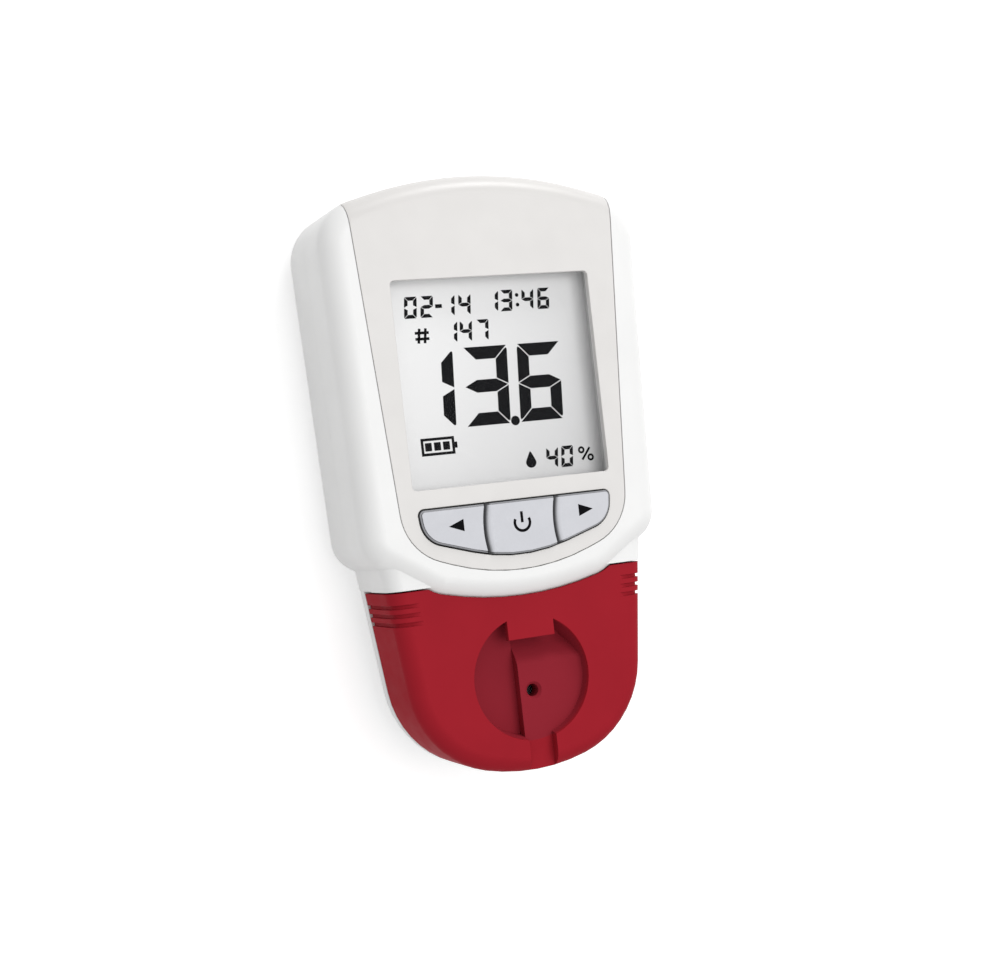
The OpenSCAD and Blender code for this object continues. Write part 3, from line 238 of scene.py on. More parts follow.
def wire(tree, shader, colour, rough, height, strength, distance, normal=None):
    """Links the shader's colour and roughness, and bends its normal by a height pattern."""
    links = {"Height": height, "Strength": strength, "Distance": distance}
    if normal is not None:
        links["Normal"] = normal
    bump = add(tree, "ShaderNodeBump", links).outputs["Normal"]
    for socket, value in (("Base Color", colour), ("Roughness", rough), ("Normal", bump)):
        tree.links.new(value, shader.inputs[socket])


def recolour(material, factor, colour, on_high=True):
    """Mixes a colour into a material's own one, where the factor is high, or where it is low."""
    tree = material.node_tree
    base = tree.nodes["Principled BSDF"].inputs["Base Color"]
    own, new = base.links[0].from_socket, (*colour, 1)
    first, second = (own, new) if on_high else (new, own)
    tree.links.new(add(tree, "ShaderNodeMix", {
        0: factor, 6: first, 7: second}, data_type="RGBA").outputs[2], base)


def plastic(name, colour, rough=0.42, vary=0.02, patch=14 * MM, grain=None, depth=0.12,
            edge=None, specular=0.35, fine_vary=0.0):
    """Moulded plastic: faint broad tone, uneven gloss, fine grain, and edges that catch the light."""
    looks = bpy.context.scene.meter_plastics
    grain = looks.grain if grain is None else grain
    edge = looks.edge if edge is None else edge
    material, tree, shader = new_material(name)
    where = place(tree)
    broad = noise(tree, where, patch, 3)
    if fine_vary:
        fine = noise(tree, where, grain * 1.6, 1)
        broad = add(tree, "ShaderNodeMix", {
            "Factor": fine_vary, "A": broad, "B": fine}, data_type="FLOAT").outputs["Result"]
    rounded = add(tree, "ShaderNodeBevel", {"Radius": edge}, samples=4).outputs["Normal"] if edge else None
    wire(tree, shader, ramp(tree, broad, [(0.3, spread(colour, -vary)), (0.7, spread(colour, vary))]),
         span(tree, noise(tree, where, patch / 3), rough - 0.05, rough + 0.05),
         noise(tree, where, grain), depth, 0.02 * MM, rounded)
    shader.inputs["Specular IOR Level"].default_value = specular
    return material


def metal(name, colour, rough, line_width=0.2 * MM, line_length=4 * MM):
    """Plated or rolled metal with fine lines drawn along Y."""
    material, tree, shader = new_material(name)
    where = place(tree)
    lines = scaled(tree, where, (1 / line_width, 1 / line_length, 1 / line_width))
    streaks = noise(tree, lines, 1.0)
    wire(tree, shader, ramp(tree, noise(tree, where, 3 * MM), [
        (0.3, spread(colour, -0.06)), (0.7, spread(colour, 0.04))]),
        span(tree, streaks, rough - 0.08, rough + 0.1), streaks, 0.08, 0.01 * MM)
    shader.inputs["Metallic"].default_value = 1.0
    return material


def rubber(name, colour, rough=0.7, grain=0.15 * MM, depth=0.25):
    """Soft moulded rubber with a dull, dusty surface."""
    material = plastic(name, colour, rough, vary=0.06, patch=3 * MM, grain=grain, depth=depth,
                       specular=0.25)
    material.node_tree.nodes["Principled BSDF"].inputs["Sheen Weight"].default_value = 0.1
    return material


def circuit(name, mask, plating):
    """Solder mask over a net of tracks, which show lighter through it, with plated dots."""
    track_pitch = 1.1 * MM
    material, tree, shader = new_material(name)
    flat = scaled(tree, place(tree), (1 / track_pitch, 1 / track_pitch, 0))
    cells = add(tree, "ShaderNodeTexVoronoi", {
        "Vector": flat, "Scale": 0.8, "Randomness": 0.55}, distance="MANHATTAN", feature="F1")
    edges = add(tree, "ShaderNodeTexBrick", {
        "Vector": flat, "Scale": 0.7, "Mortar Size": 0.09, "Mortar Smooth": 0.2,
        "Color1": (0, 0, 0, 1), "Color2": (0, 0, 0, 1), "Mortar": (1, 1, 1, 1)}).outputs["Color"]
    tracks = add(tree, "ShaderNodeMix", {
        0: edges, 6: (*mask, 1), 7: (*spread(mask, 0.6), 1)}, data_type="RGBA").outputs[2]
    dots = ramp(tree, cells.outputs["Distance"], [(0.12, (1, 1, 1)), (0.16, (0, 0, 0))])
    wire(tree, shader, tracks, span(tree, dots, 0.42, 0.28, (0, 1)), edges, 0.2, 0.03 * MM)
    tree.links.new(span(tree, dots, 0.0, 0.9, (0, 1)), shader.inputs["Metallic"])
    recolour(material, dots, plating)
    return material


def striped(name, pitch, stops, rough, patch, strength, distance):
    """Even lines across X, pitch apart, with colours from a line's foot to its crest."""
    material, tree, shader = new_material(name)
    where = place(tree)
    lines = add(tree, "ShaderNodeTexWave", {
        "Vector": scaled(tree, where, (WAVE_LENGTH / pitch, 0, 0)), "Scale": 1.0}).outputs["Fac"]
    wire(tree, shader, ramp(tree, lines, stops), span(tree, noise(tree, where, patch), *rough),
         lines, strength, distance)
    return material


def clear(name, colour, alpha):
    """Thin clear plastic seen nearly square on."""
    material, tree, shader = new_material(name)
    where = place(tree)
    smear = noise(tree, where, 6 * MM, 3)
    wire(tree, shader, ramp(tree, smear, [(0.3, spread(colour, -0.02)), (0.7, colour)]),
         span(tree, smear, 0.05, 0.1), noise(tree, where, 9 * MM, 1), 0.03, 0.02 * MM)
    shader.inputs["Alpha"].default_value = alpha
    return material


# Meshes

def finish_piece(bm, name, body, material, replaces=(), sharp=None):
    """Makes the piece's object, at the origin, attaches it to its body and hides the CAD nodes it
    replaces.
    """
    mesh = bpy.data.meshes.new(name)
    bm.to_mesh(mesh)
    bm.free()
    if "custom_normal" in mesh.attributes:
        mesh.attributes.remove(mesh.attributes["custom_normal"])
    mesh.materials.clear()
    mesh.materials.append(material)
    piece = bpy.data.objects.new(name, mesh)
    bpy.context.scene.collection.objects.link(piece)
    if sharp is not None:
        mesh.shade_smooth()
        mesh.set_sharp_from_angle(angle=math.radians(sharp))
        weights = piece.modifiers.new("Flat faces lead", "WEIGHTED_NORMAL")
        weights.mode = "FACE_AREA"
        weights.keep_sharp = True
    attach(piece, body)
    if replaces:
        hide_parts(*replaces)


def welded(node):
    """A copy of a CAD node whose triangles are joined and whose flat faces are whole."""
    bm = bmesh.new()
    bm.from_mesh(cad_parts[node].data)
    bmesh.ops.remove_doubles(bm, verts=bm.verts, dist=NEAR)
    bmesh.ops.dissolve_degenerate(bm, dist=NEAR / 2, edges=bm.edges)
    bmesh.ops.dissolve_limit(bm, angle_limit=math.radians(0.4), verts=bm.verts, edges=bm.edges)
    return bm


def roll_edges(bm, edges, radius, segments):
    bmesh.ops.bevel(bm, geom=edges, offset=radius, offset_type="OFFSET", segments=segments,
                    affect="EDGES", profile=0.5, material=-1, clamp_overlap=True)


def skin(node, body, material, roll=0.0):
    """Replaces a CAD node by its welded copy, shaded smoothly over the steps of its curves.
    A roll rounds its steep convex edges."""
    bm = welded(node)
    if roll:
        steep = [e for e in bm.edges if len(e.link_faces) == 2 and e.is_convex
                 and e.calc_face_angle(0) > math.radians(60)]
        roll_edges(bm, steep, roll, 2)
    finish_piece(bm, node + "_skin", body, material, [node], 32)


def dress(material, *nodes):
    """Gives CAD nodes that stay a better material in their slots."""
    for node in nodes:
        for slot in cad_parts[node].material_slots:
            slot.material = material


def mm(*numbers):
    """Millimetres as the scene's metres."""
    return [n * MM for n in numbers]


def move(bm, x, y, z=0.0):
    bmesh.ops.translate(bm, verts=bm.verts, vec=(x, y, z))


def turn(bm, degrees):
    """Turns a mesh about Z."""
    bmesh.ops.rotate(bm, verts=bm.verts, cent=(0, 0, 0), matrix=Matrix.Rotation(
        math.radians(degrees), 3, "Z"))


def round_corners(bm, corners, radius):
    bmesh.ops.bevel(bm, geom=corners, offset=radius, segments=3, affect="VERTICES", profile=0.5,
                    material=-1)


def add_mesh(target, bm):
    """Moves the faces of one mesh under construction into another."""
    scratch = bpy.data.meshes.new("scratch")
    bm.to_mesh(scratch)
    bm.free()
    target.from_mesh(scratch)
    bpy.data.meshes.remove(scratch)


# Segments run clockwise from a at the top to f at the upper left, and g is the middle one
SEGMENTS_ON = {
    "0": "abcdef", "1": "bc", "2": "abged", "3": "abgcd", "4": "fgbc", "5": "afgcd",
    "6": "afgedc", "7": "abc", "8": "abcdefg", "9": "abcdfg"}


def segment_at(spot, width, height, stroke):
    """The letter of the segment that covers a spot of a figure."""
    if abs(spot.x) > width / 2 - stroke:
        return ("b" if spot.y > 0 else "c") if spot.x > 0 else ("f" if spot.y > 0 else "e")
    if abs(spot.y) < stroke * 0.6:
        return "g"
    if abs(spot.y) > height / 2 - stroke:
        return "a" if spot.y > 0 else "d"
    return "none"


def figure(target, char, centre, size, stroke, gap, slant):
    """One seven-segment figure, cut out of a rectangle by insets, added to target."""
    width, height = size
    bm = bmesh.new()
    bmesh.ops.create_grid(bm, x_segments=1, y_segments=2, size=0.5)
    bmesh.ops.scale(bm, vec=(width, height, 1), verts=bm.verts)
    bmesh.ops.inset_individual(bm, faces=bm.faces[:], thickness=stroke, use_even_offset=True)
    # The insets of both halves leave a middle bar of twice the stroke
    for vert in bm.verts:
        if 0 < abs(vert.co.y) < stroke * 1.01:
            vert.co.y /= 2
    middle = [e for e in bm.edges if all(abs(v.co.y) < NEAR for v in e.verts)]
    bmesh.ops.dissolve_edges(bm, edges=middle)
    unlit = [f for f in bm.faces
             if segment_at(f.calc_center_median(), width, height, stroke) not in SEGMENTS_ON[char]]
    bmesh.ops.delete(bm, geom=unlit, context="FACES")
    rims = bmesh.ops.inset_individual(bm, faces=bm.faces[:], thickness=gap / 2, use_even_offset=True)
    bmesh.ops.delete(bm, geom=rims["faces"], context="FACES")
    outer = [v for v in bm.verts if abs(abs(v.co.x) - width / 2 + gap / 2) < NEAR
             and abs(v.co.y) > height / 2 - stroke]
    if outer:
        round_corners(bm, outer, stroke * 0.3)
    for vert in bm.verts:
        vert.co.x += vert.co.y * math.tan(math.radians(slant))
    move(bm, *centre)
    add_mesh(target, bm)


def disc(target, centre, radius, sides=24):
    bm = bmesh.new()
    bmesh.ops.create_circle(bm, cap_ends=True, segments=sides, radius=radius)
    move(bm, *centre)
    add_mesh(target, bm)


def bar(target, centre, width, height, tilt=0.0, corner=0.0):
    """A flat rectangle, tilted in degrees, with rounded corners where corner is given."""
    bm = bmesh.new()
    bmesh.ops.create_grid(bm, x_segments=1, y_segments=1, size=0.5)
    bmesh.ops.scale(bm, vec=(width, height, 1), verts=bm.verts)
    if corner:
        round_corners(bm, bm.verts[:], corner)
    turn(bm, tilt)
    move(bm, *centre)
    add_mesh(target, bm)


def ring(target, centre, radius, stroke, start=0.0, sweep=360.0, steps=20):
    """A flat ring, or part of one, swept from a short line."""
    bm = bmesh.new()
    low = bm.verts.new((radius - stroke / 2, 0, 0))
    high = bm.verts.new((radius + stroke / 2, 0, 0))
    line = bm.edges.new((low, high))
    turn(bm, start)
    bmesh.ops.spin(bm, geom=[low, high, line], cent=(0, 0, 0), axis=(0, 0, 1), dvec=(0, 0, 0),
                   angle=math.radians(sweep), steps=steps, use_merge=sweep >= 360, use_duplicate=False)
    bmesh.ops.remove_doubles(bm, verts=bm.verts, dist=NEAR)
    move(bm, *centre)
    add_mesh(target, bm)


def print_on(bm, centre, top, thickness, name, body, material):
    """Lays flat faces on a surface at the height top, gives them thickness and makes the piece."""
    bmesh.ops.recalc_face_normals(bm, faces=bm.faces)
    for face in bm.faces:
        if face.normal.z < 0:
            face.normal_flip()
    move(bm, *centre, top)
    made = bmesh.ops.extrude_face_region(bm, geom=bm.faces[:])
    tops = [v for v in made["geom"] if isinstance(v, bmesh.types.BMVert)]
    bmesh.ops.translate(bm, verts=tops, vec=(0, 0, thickness))
    bmesh.ops.recalc_face_normals(bm, faces=bm.faces)
    finish_piece(bm, name, body, material)


# Pieces

class METER_OT_housings(bpy.types.Operator):
    """Gives the two housing halves their skins of white plastic"""
    bl_idname = "meter.housings"
    bl_label = "Housing halves"

    def execute(self, context):
        looks = context.scene.meter_plastics
        skin("front_housing", "meter", plastic("white shell plastic", looks.shell_colour, 0.4, vary=0.012))
        skin("rear_housing", "meter", plastic("white back plastic", looks.shell_colour, 0.44, vary=0.015))
        return {"FINISHED"}


class METER_OT_front_plate(bpy.types.Operator):
    """Gives the front plate its grey skin, and the display its clear window"""
    bl_idname = "meter.front_plate"
    bl_label = "Front plate and window"

    def execute(self, context):
        looks = context.scene.meter_plastics
        grey = plastic("grey front plate plastic", looks.plate_colour, 0.33, vary=0.012, specular=0.5)
        skin("fascia_plate", "meter", grey, looks.seam_roll)
        dress(clear("clear display window", (0.4, 0.41, 0.41), 0.008), "display_window")
        dress(rubber("grey gasket foam", (0.55, 0.55, 0.55), 0.85, 0.35 * MM, 0.5), "display_gasket")
        return {"FINISHED"}


# Figures and symbols lie at millimetres from the middle of the display glass

class METER_OT_display(bpy.types.Operator):
    """Gives the display its ground, figures and symbols"""
    bl_idname = "meter.display"
    bl_label = "Display"

    def execute(self, context):
        looks = context.scene.meter_display
        low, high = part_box("lcd_glass")
        dress(self.ground(looks, low, high), "lcd_glass")
        dark = plastic("dark display segments", looks.figure_colour, 0.5, vary=0.1, patch=2 * MM,
                       grain=0.2 * MM, depth=0.05, edge=0, specular=0.03)
        for name, bm in (("display_value", self.value(looks)),
                         ("display_small_figures", self.small_figures(looks)),
                         ("display_symbols", self.symbols())):
            print_on(bm, ((low + high) / 2).xy, high.z, 0.02 * MM, name, "meter", dark)
        return {"FINISHED"}

    def value(self, looks):
        """The measured value: three large figures and a decimal point"""
        size, gap, slant, row = (looks.large_width, looks.large_height), 0.18 * MM, 3.4, -0.85
        bm = bmesh.new()
        for char, x in (("1", -12.35), ("3", -1.55), ("6", 9.2)):
            figure(bm, char, mm(x, row), size, looks.large_stroke, gap, slant)
        disc(bm, mm(3.35, -7.7), 0.88 * MM)
        return bm

    def small_figures(self, looks):
        """Date, time, number of the test and percentage, each a row of figures"""
        size, gap, slant = (looks.small_width, looks.small_height), 0.09 * MM, 6
        rows = (
            (14.2, ((-14.75, "0"), (-11.6, "2"), (-7.35, "1"), (-4.2, "4"))),
            (14.5, ((1.35, "1"), (4.2, "3"), (8.5, "4"), (11.75, "6"))),
            (9.35, ((-7.4, "1"), (-4.5, "4"), (-1.2, "7"))),
            (-15.2, ((9.95, "4"), (13.05, "0"))))
        bm = bmesh.new()
        for y, figures in rows:
            for x, char in figures:
                figure(bm, char, mm(x, y), size, looks.small_stroke, gap, slant)
        bar(bm, mm(-9.3, 14.2), *mm(1.3, 0.7))
        for x, y in ((6.377, 13.6), (6.407, 15.4)):
            disc(bm, mm(x, y), 0.36 * MM, 12)
        return bm

    def symbols(self):
        bm = bmesh.new()
        self.number_sign(bm)
        self.battery(bm)
        self.drop(bm)
        self.percent_sign(bm)
        return bm

    def number_sign(self, target):
        x, y, length, line, lean = -13.1, 9.0, 2.7, 0.5, -8
        for side in (-1, 1):
            bar(target, mm(x + 0.6 * side, y), *mm(line, length), lean)
            bar(target, mm(x, y + 0.55 * side), *mm(length, line))

    def battery(self, target):
        """Outline of a battery with its knob and three bars"""
        left, right, bottom, top, line = -15.4, -9.4, -12.4, -9.7, 0.5
        x, y = (left + right) / 2, (bottom + top) / 2
        for edge in (bottom, top):
            bar(target, mm(x, edge), *mm(right - left + line, line))
        for edge in (left, right):
            bar(target, mm(edge, y), *mm(line, top - bottom - line))
        bar(target, mm(right + line, y), *mm(0.55, 1.1))
        first, pitch = left + 1.15, 1.75
        for i in range(3):
            bar(target, mm(first + i * pitch, y), *mm(1.3, 1.5), corner=0.12 * MM)

    def drop(self, target):
        """A disc whose upper half is drawn in and up to a tip"""
        radius, draw_in, draw_up = 1.05 * MM, 0.55, 0.9
        bm = bmesh.new()
        bmesh.ops.create_circle(bm, cap_ends=True, segments=28, radius=radius)
        for vert in bm.verts:
            if vert.co.y > 0:
                up = vert.co.y / radius
                vert.co.x *= 1 - draw_in * up ** 1.5
                vert.co.y *= 1 + draw_up * up
        move(bm, *mm(5.6, -15.6))
        add_mesh(target, bm)

    def percent_sign(self, target):
        middle, apart = Vector(mm(17.0, -15.05)), Vector(mm(0.9, -0.75))
        for centre in (middle - apart, middle + apart):
            ring(target, centre, *mm(0.48, 0.4))
        bar(target, middle, *mm(0.42, 2.8), -38)

    def ground(self, looks, low, high):
        """Grey glass with painted light and shade: it darkens evenly from its upper left to its lower
        right
        """
        material, tree, shader = new_material("grey display glass")
        where = place(tree)
        reach, slant = (high - low).length, math.radians(38)
        middle = Matrix.Rotation(slant, 3, "Z") @ Vector((*(low + high).xy / 2 / reach, 0))
        slope = add(tree, "ShaderNodeMapping", {
            "Vector": where, "Location": (0.5 - middle.x, -middle.y, 0), "Rotation": (0, 0, slant),
            "Scale": (1 / reach, 1 / reach, 0)}, vector_type="POINT").outputs["Vector"]
        fall = add(tree, "ShaderNodeTexGradient", {"Vector": slope}).outputs["Fac"]
        cloud = noise(tree, where, 18 * MM)
        tone = add(tree, "ShaderNodeMix", {0: 0.08, 2: fall, 3: cloud}, data_type="FLOAT").outputs[0]
        between = [(a + b) / 2 for a, b in zip(looks.lit_corner_colour, looks.shaded_corner_colour)]
        stops = [(0.12, looks.lit_corner_colour), (0.5, between), (0.92, looks.shaded_corner_colour)]
        wire(tree, shader, ramp(tree, tone, stops), span(tree, cloud, 0.22, 0.3),
             noise(tree, where, 0.12 * MM, 1), 0.06, 0.01 * MM)
        shader.inputs["Specular IOR Level"].default_value = 0.2
        return material


# The keys' rolled tops end this much below the CAD model's highest point
KEY_SINK = 0.03 * MM


class METER_OT_keys(bpy.types.Operator):
    """Makes the three keys with rolled edges and their printed marks"""
    bl_idname = "meter.keys"
    bl_label = "Keys"

    def execute(self, context):
        looks, colours = context.scene.meter_keys, context.scene.meter_plastics
        finish = plastic("bluish grey key plastic", colours.key_colour, 0.42, vary=0.03, patch=5 * MM,
                         grain=0.22 * MM, depth=0.16, edge=0, fine_vary=0.35)
        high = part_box("power_button")[1]
        self.darken_sides(finish, colours.key_colour, high.z)
        for node in ("left_button", "power_button", "right_button"):
            self.key(node, looks, finish)
        ink = plastic("black key print", looks.mark_colour, 0.55, vary=0.15, patch=1 * MM,
                      grain=0.1 * MM, depth=0.1, edge=0, specular=0.04)
        # Across the meter, and down from the top edge of the power key
        marks = (
            ("power_mark", "power_button", self.power_mark(looks), 0.62, 4.95),
            ("left_arrow", "left_button", self.arrow(looks.arrow_length, 180), -12.2, 4.2),
            ("right_arrow", "right_button", self.arrow(looks.arrow_length, 0), 13.6, 3.95))
        top = high.z - KEY_SINK
        for name, body, bm, x, down in marks:
            print_on(bm, (x * MM, high.y - down * MM), top, 0.015 * MM, name, body, ink)
        dress(rubber("grey key sheet silicone", (0.42, 0.43, 0.45), 0.6), "keypad_mat")
        return {"FINISHED"}

    def darken_sides(self, material, colour, top):
        """The keys' sides and lowest edges stand in shade, so the seams read as dark lines"""
        tilted, flat, deep, shallow = 0.35, 0.85, top - 0.42 * MM, top - 0.12 * MM
        tree = material.node_tree
        normal = add(tree, "ShaderNodeNewGeometry").outputs["Normal"]
        up = add(tree, "ShaderNodeSeparateXYZ", {"Vector": normal}).outputs["Z"]
        height = add(tree, "ShaderNodeSeparateXYZ", {"Vector": place(tree)}).outputs["Z"]
        lit = add(tree, "ShaderNodeMath", {
            0: span(tree, up, 0.0, 1.0, (tilted, flat)),
            1: span(tree, height, 0.0, 1.0, (deep, shallow))}, operation="MINIMUM")
        recolour(material, lit.outputs[0], spread(colour, -0.85), on_high=False)

    def power_mark(self, looks):
        """A ring that is open at the top, with a bar in its opening"""
        opening, stroke = 124, looks.mark_stroke
        bm = bmesh.new()
        ring(bm, (0, 0), looks.power_radius, stroke, 90 + opening / 2, 360 - opening, 44)
        bar(bm, mm(0, 1.0), stroke, 2.0 * MM)
        return bm

    def arrow(self, length, direction):
        """A flat triangle that points along X, turned to its direction in degrees"""
        radius, flat = 1 * MM, 0.76
        bm = bmesh.new()
        bmesh.ops.create_circle(bm, cap_ends=True, segments=3, radius=radius)
        turn(bm, -90)
        move(bm, -radius / 4, 0)
        bmesh.ops.scale(bm, verts=bm.verts, vec=(
            length / (1.5 * radius), length * flat / (math.sqrt(3) * radius), 1))
        turn(bm, direction)
        return bm

    def key(self, node, looks, material):
        bm = welded(node)
        low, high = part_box(node)
        if node != "left_button":
            self.divider(bm, low, high, looks)
        bm.normal_update()
        steep, facing_up = math.radians(42), 0.6
        lowest = high.z - looks.divider_drop - 0.05 * MM
        rim = [e for e in bm.edges if len(e.link_faces) == 2 and e.calc_face_angle(0) > steep
               and max(f.normal.z for f in e.link_faces) > facing_up
               and min(v.co.z for v in e.verts) > lowest]
        roll_edges(bm, rim, looks.edge_roll, 3)
        tops = [v for v in bm.verts if v.co.z > high.z - NEAR]
        bmesh.ops.translate(bm, verts=tops, vec=(0, 0, -KEY_SINK))
        finish_piece(bm, node + "_cap", node, material, [node], 40)

    def divider(self, bm, low, high, looks):
        """Lets the key's top slope down towards the bowed seam at its left"""
        reach, drop, hollow = looks.divider_reach, looks.divider_drop, 2.4
        columns, rows, facing_left, lowest = 12, 14, -0.85, high.z - 0.4 * MM
        seam = [[v.co.copy() for v in e.verts] for e in bm.edges
                if all(abs(v.co.z - high.z) < 2 * NEAR for v in e.verts)
                and min(f.normal.x for f in e.link_faces) < facing_left
                and min(v.co.x for v in e.verts) < low.x + 2 * reach]
        first, last = min(v.x for e in seam for v in e), max(v.x for e in seam for v in e) + reach
        cuts = [((first + (last - first) * i / columns, 0, 0), (1, 0, 0)) for i in range(1, columns + 1)]
        cuts += [((0, low.y + (high.y - low.y) * i / rows, 0), (0, 1, 0)) for i in range(1, rows)]
        for at, across in cuts:
            bmesh.ops.bisect_plane(bm, geom=bm.verts[:] + bm.edges[:] + bm.faces[:], dist=NEAR / 10,
                                   plane_co=at, plane_no=across)
        for vert in bm.verts:
            if vert.co.z > lowest:
                far = min(self.away(vert.co, *ends) for ends in seam) / reach
                if far < 1:
                    vert.co.z -= drop * (1 - far) ** hollow

    def away(self, point, start, end):
        """Distance in the plan from a point to the line between two others"""
        point, start, end = point.xy, start.xy, end.xy
        along = (end - start).normalized()
        part = min(max((point - start).dot(along), 0), (end - start).length)
        return (point - start - along * part).length


class METER_OT_strip_holder(bpy.types.Operator):
    """Gives the strip holder its red skin"""
    bl_idname = "meter.strip_holder"
    bl_label = "Strip holder"

    def execute(self, context):
        looks = context.scene.meter_plastics
        red = plastic("red strip holder plastic", looks.holder_colour, 0.45, vary=0.03, patch=9 * MM,
                      depth=0.1, specular=0.012)
        # Paints the shade inside the round recess into the red
        self.recess(red, looks.recess_shade_colour, *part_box("strip_channel"))
        skin("strip_channel", "strip_holder", red)
        return {"FINISHED"}

    def recess(self, material, colour, low, high):
        """Paints shade on the sunk faces inside the round recess, as a darker, duller red"""
        centre, radius, blur = low.y + 17.1 * MM, 11.6 * MM, 0.1 * MM
        shallow, deep = high.z - 0.3 * MM, high.z - 0.8 * MM
        tree = material.node_tree
        where = place(tree)
        away = add(tree, "ShaderNodeVectorMath", {
            0: scaled(tree, where, (1, 1, 0)), 1: (0, centre, 0)}, operation="DISTANCE").outputs["Value"]
        height = add(tree, "ShaderNodeSeparateXYZ", {"Vector": where}).outputs["Z"]
        inside = add(tree, "ShaderNodeMath", {
            0: span(tree, away, 1.0, 0.0, (radius - blur, radius + blur)),
            1: span(tree, height, 1.0, 0.0, (deep, shallow))}, operation="MULTIPLY").outputs[0]
        recolour(material, inside, colour)


class METER_OT_optics(bpy.types.Operator):
    """Finishes the deck, the optics under it, their board and its flat cable"""
    bl_idname = "meter.optics"
    bl_label = "Optics"

    def execute(self, context):
        dress(plastic("pale grey deck plastic", (0.55, 0.55, 0.56), 0.5), "sensor_deck")
        dress(plastic("black optics plastic", (0.012, 0.012, 0.013), 0.55, vary=0.1, patch=3 * MM,
                      specular=0.3), "optics_block")
        dress(clear("clear optics disc", (0.3, 0.32, 0.34), 0.15), "sensor_window")
        dress(plastic("amber emitter resin", (0.75, 0.6, 0.25), 0.25, vary=0.05, patch=1 * MM),
              "light_emitters")
        dress(plastic("dark photodiode resin", (0.03, 0.03, 0.045), 0.22, patch=1 * MM), "photodiode")
        dress(circuit("green circuit board", (0.03, 0.2, 0.08), (0.72, 0.66, 0.5)),
              "sensor_board", "main_board")
        copper, film = (0.5, 0.24, 0.08), (0.72, 0.5, 0.16)
        dress(striped("amber flat cable film", 0.982 * MM, [(0.45, film), (0.6, copper)],
                      (0.25, 0.38), 2 * MM, 0.3, 0.03 * MM), "sensor_ribbon")
        dress(plastic("cream connector plastic", (0.72, 0.66, 0.5), 0.45, patch=3 * MM),
              "ribbon_connectors")
        return {"FINISHED"}


class METER_OT_main_board(bpy.types.Operator):
    """Finishes the parts on the main board and the frame that holds the display glass"""
    bl_idname = "meter.main_board"
    bl_label = "Main board"

    def execute(self, context):
        dress(plastic("black chip resin", (0.02, 0.02, 0.022), 0.6, vary=0.15, patch=2 * MM,
                      grain=0.1 * MM, depth=0.3), "microcontroller")
        dress(plastic("black buzzer plastic", (0.015, 0.015, 0.016), 0.4), "buzzer")
        dress(metal("tinned part ends", (0.62, 0.6, 0.55), 0.35), "board_components")
        dress(plastic("white frame plastic", (0.7, 0.7, 0.69), 0.5), "lcd_frame")
        silicone, carbon = (0.62, 0.2, 0.24), (0.05, 0.04, 0.045)
        dress(striped("striped contact rubber", 0.1963 * MM, [(0.4, silicone), (0.6, carbon)],
                      (0.6, 0.8), 1 * MM, 0.2, 0.02 * MM), "contact_strips")
        return {"FINISHED"}


class METER_OT_cells(bpy.types.Operator):
    """Gives the three cells their sleeves, and finishes contacts and springs"""
    bl_idname = "meter.cells"
    bl_label = "Cells"

    def execute(self, context):
        for node, cap_up in (("battery_left", True), ("battery_middle", False), ("battery_right", True)):
            low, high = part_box(node)
            dress(self.sleeve(node, low.y, high.y, cap_up), node)
        dress(metal("nickel contact metal", (0.66, 0.64, 0.6), 0.28),
              "battery_contacts", "battery_springs")
        return {"FINISHED"}

    def sleeve(self, name, low, high, cap_up):
        """Printed sleeve: dark body, copper-coloured cap end, bare steel at both ends"""
        material, tree, shader = new_material("sleeve of " + name.replace("_", " "))
        where = place(tree)
        along = add(tree, "ShaderNodeSeparateXYZ", {"Vector": where}).outputs["Y"]
        first, last = (low, high) if cap_up else (high, low)
        part = span(tree, along, 0.0, 1.0, (first, last))
        steel, body, cap = (0.6, 0.6, 0.6), (0.02, 0.024, 0.032), (0.55, 0.24, 0.09)
        black, white = (0, 0, 0), (1, 1, 1)
        band = ramp(tree, part, [(0.012, steel), (0.02, body), (0.66, body), (0.67, cap),
                                 (0.955, cap), (0.965, steel)])
        bare = ramp(tree, part, [(0.012, white), (0.02, black), (0.955, black), (0.965, white)])
        wire(tree, shader, band, span(tree, noise(tree, where, 2 * MM), 0.22, 0.34),
             noise(tree, where, 0.6 * MM), 0.1, 0.02 * MM)
        tree.links.new(bare, shader.inputs["Metallic"])
        return material


class METER_OT_battery_door(bpy.types.Operator):
    """Gives the battery door its skin"""
    bl_idname = "meter.battery_door"
    bl_label = "Battery door"

    def execute(self, context):
        looks = context.scene.meter_plastics
        skin("battery_door", "battery_door", plastic(
            "white door plastic", looks.door_colour, 0.46, vary=0.015, depth=0.16))
        return {"FINISHED"}


class METER_OT_sockets(bpy.types.Operator):
    """Finishes the data socket, the code key and its socket"""
    bl_idname = "meter.sockets"
    bl_label = "Sockets"

    def execute(self, context):
        dress(metal("plated socket shell", (0.62, 0.61, 0.6), 0.3), "usb_socket")
        dress(plastic("black socket plastic", (0.02, 0.02, 0.02), 0.5), "code_socket")
        dress(plastic("blue code key plastic", (0.05, 0.08, 0.3), 0.42, vary=0.04), "code_key")
        return {"FINISHED"}


class METER_OT_fasteners(bpy.types.Operator):
    """Finishes the screws and the rubber feet"""
    bl_idname = "meter.fasteners"
    bl_label = "Screws and feet"

    def execute(self, context):
        dress(metal("zinc plated screws", (0.55, 0.54, 0.52), 0.32, *mm(0.15, 0.15)),
              "housing_screws", "board_screws", "deck_screws")
        dress(rubber("dark foot rubber", (0.03, 0.03, 0.032)), "rubber_feet")
        return {"FINISHED"}


# Places in metres, and the camera's turn in degrees
MAIN_LAMP_PLACE = (0.18, 0.06, 0.68)
BACK_LAMP_PLACE = (0.25, 0.6, 0.25)
CAMERA_PLACE = (-0.117289, -0.003566, 0.288922)
CAMERA_TURN = (2.920, -23.198, -6.923)


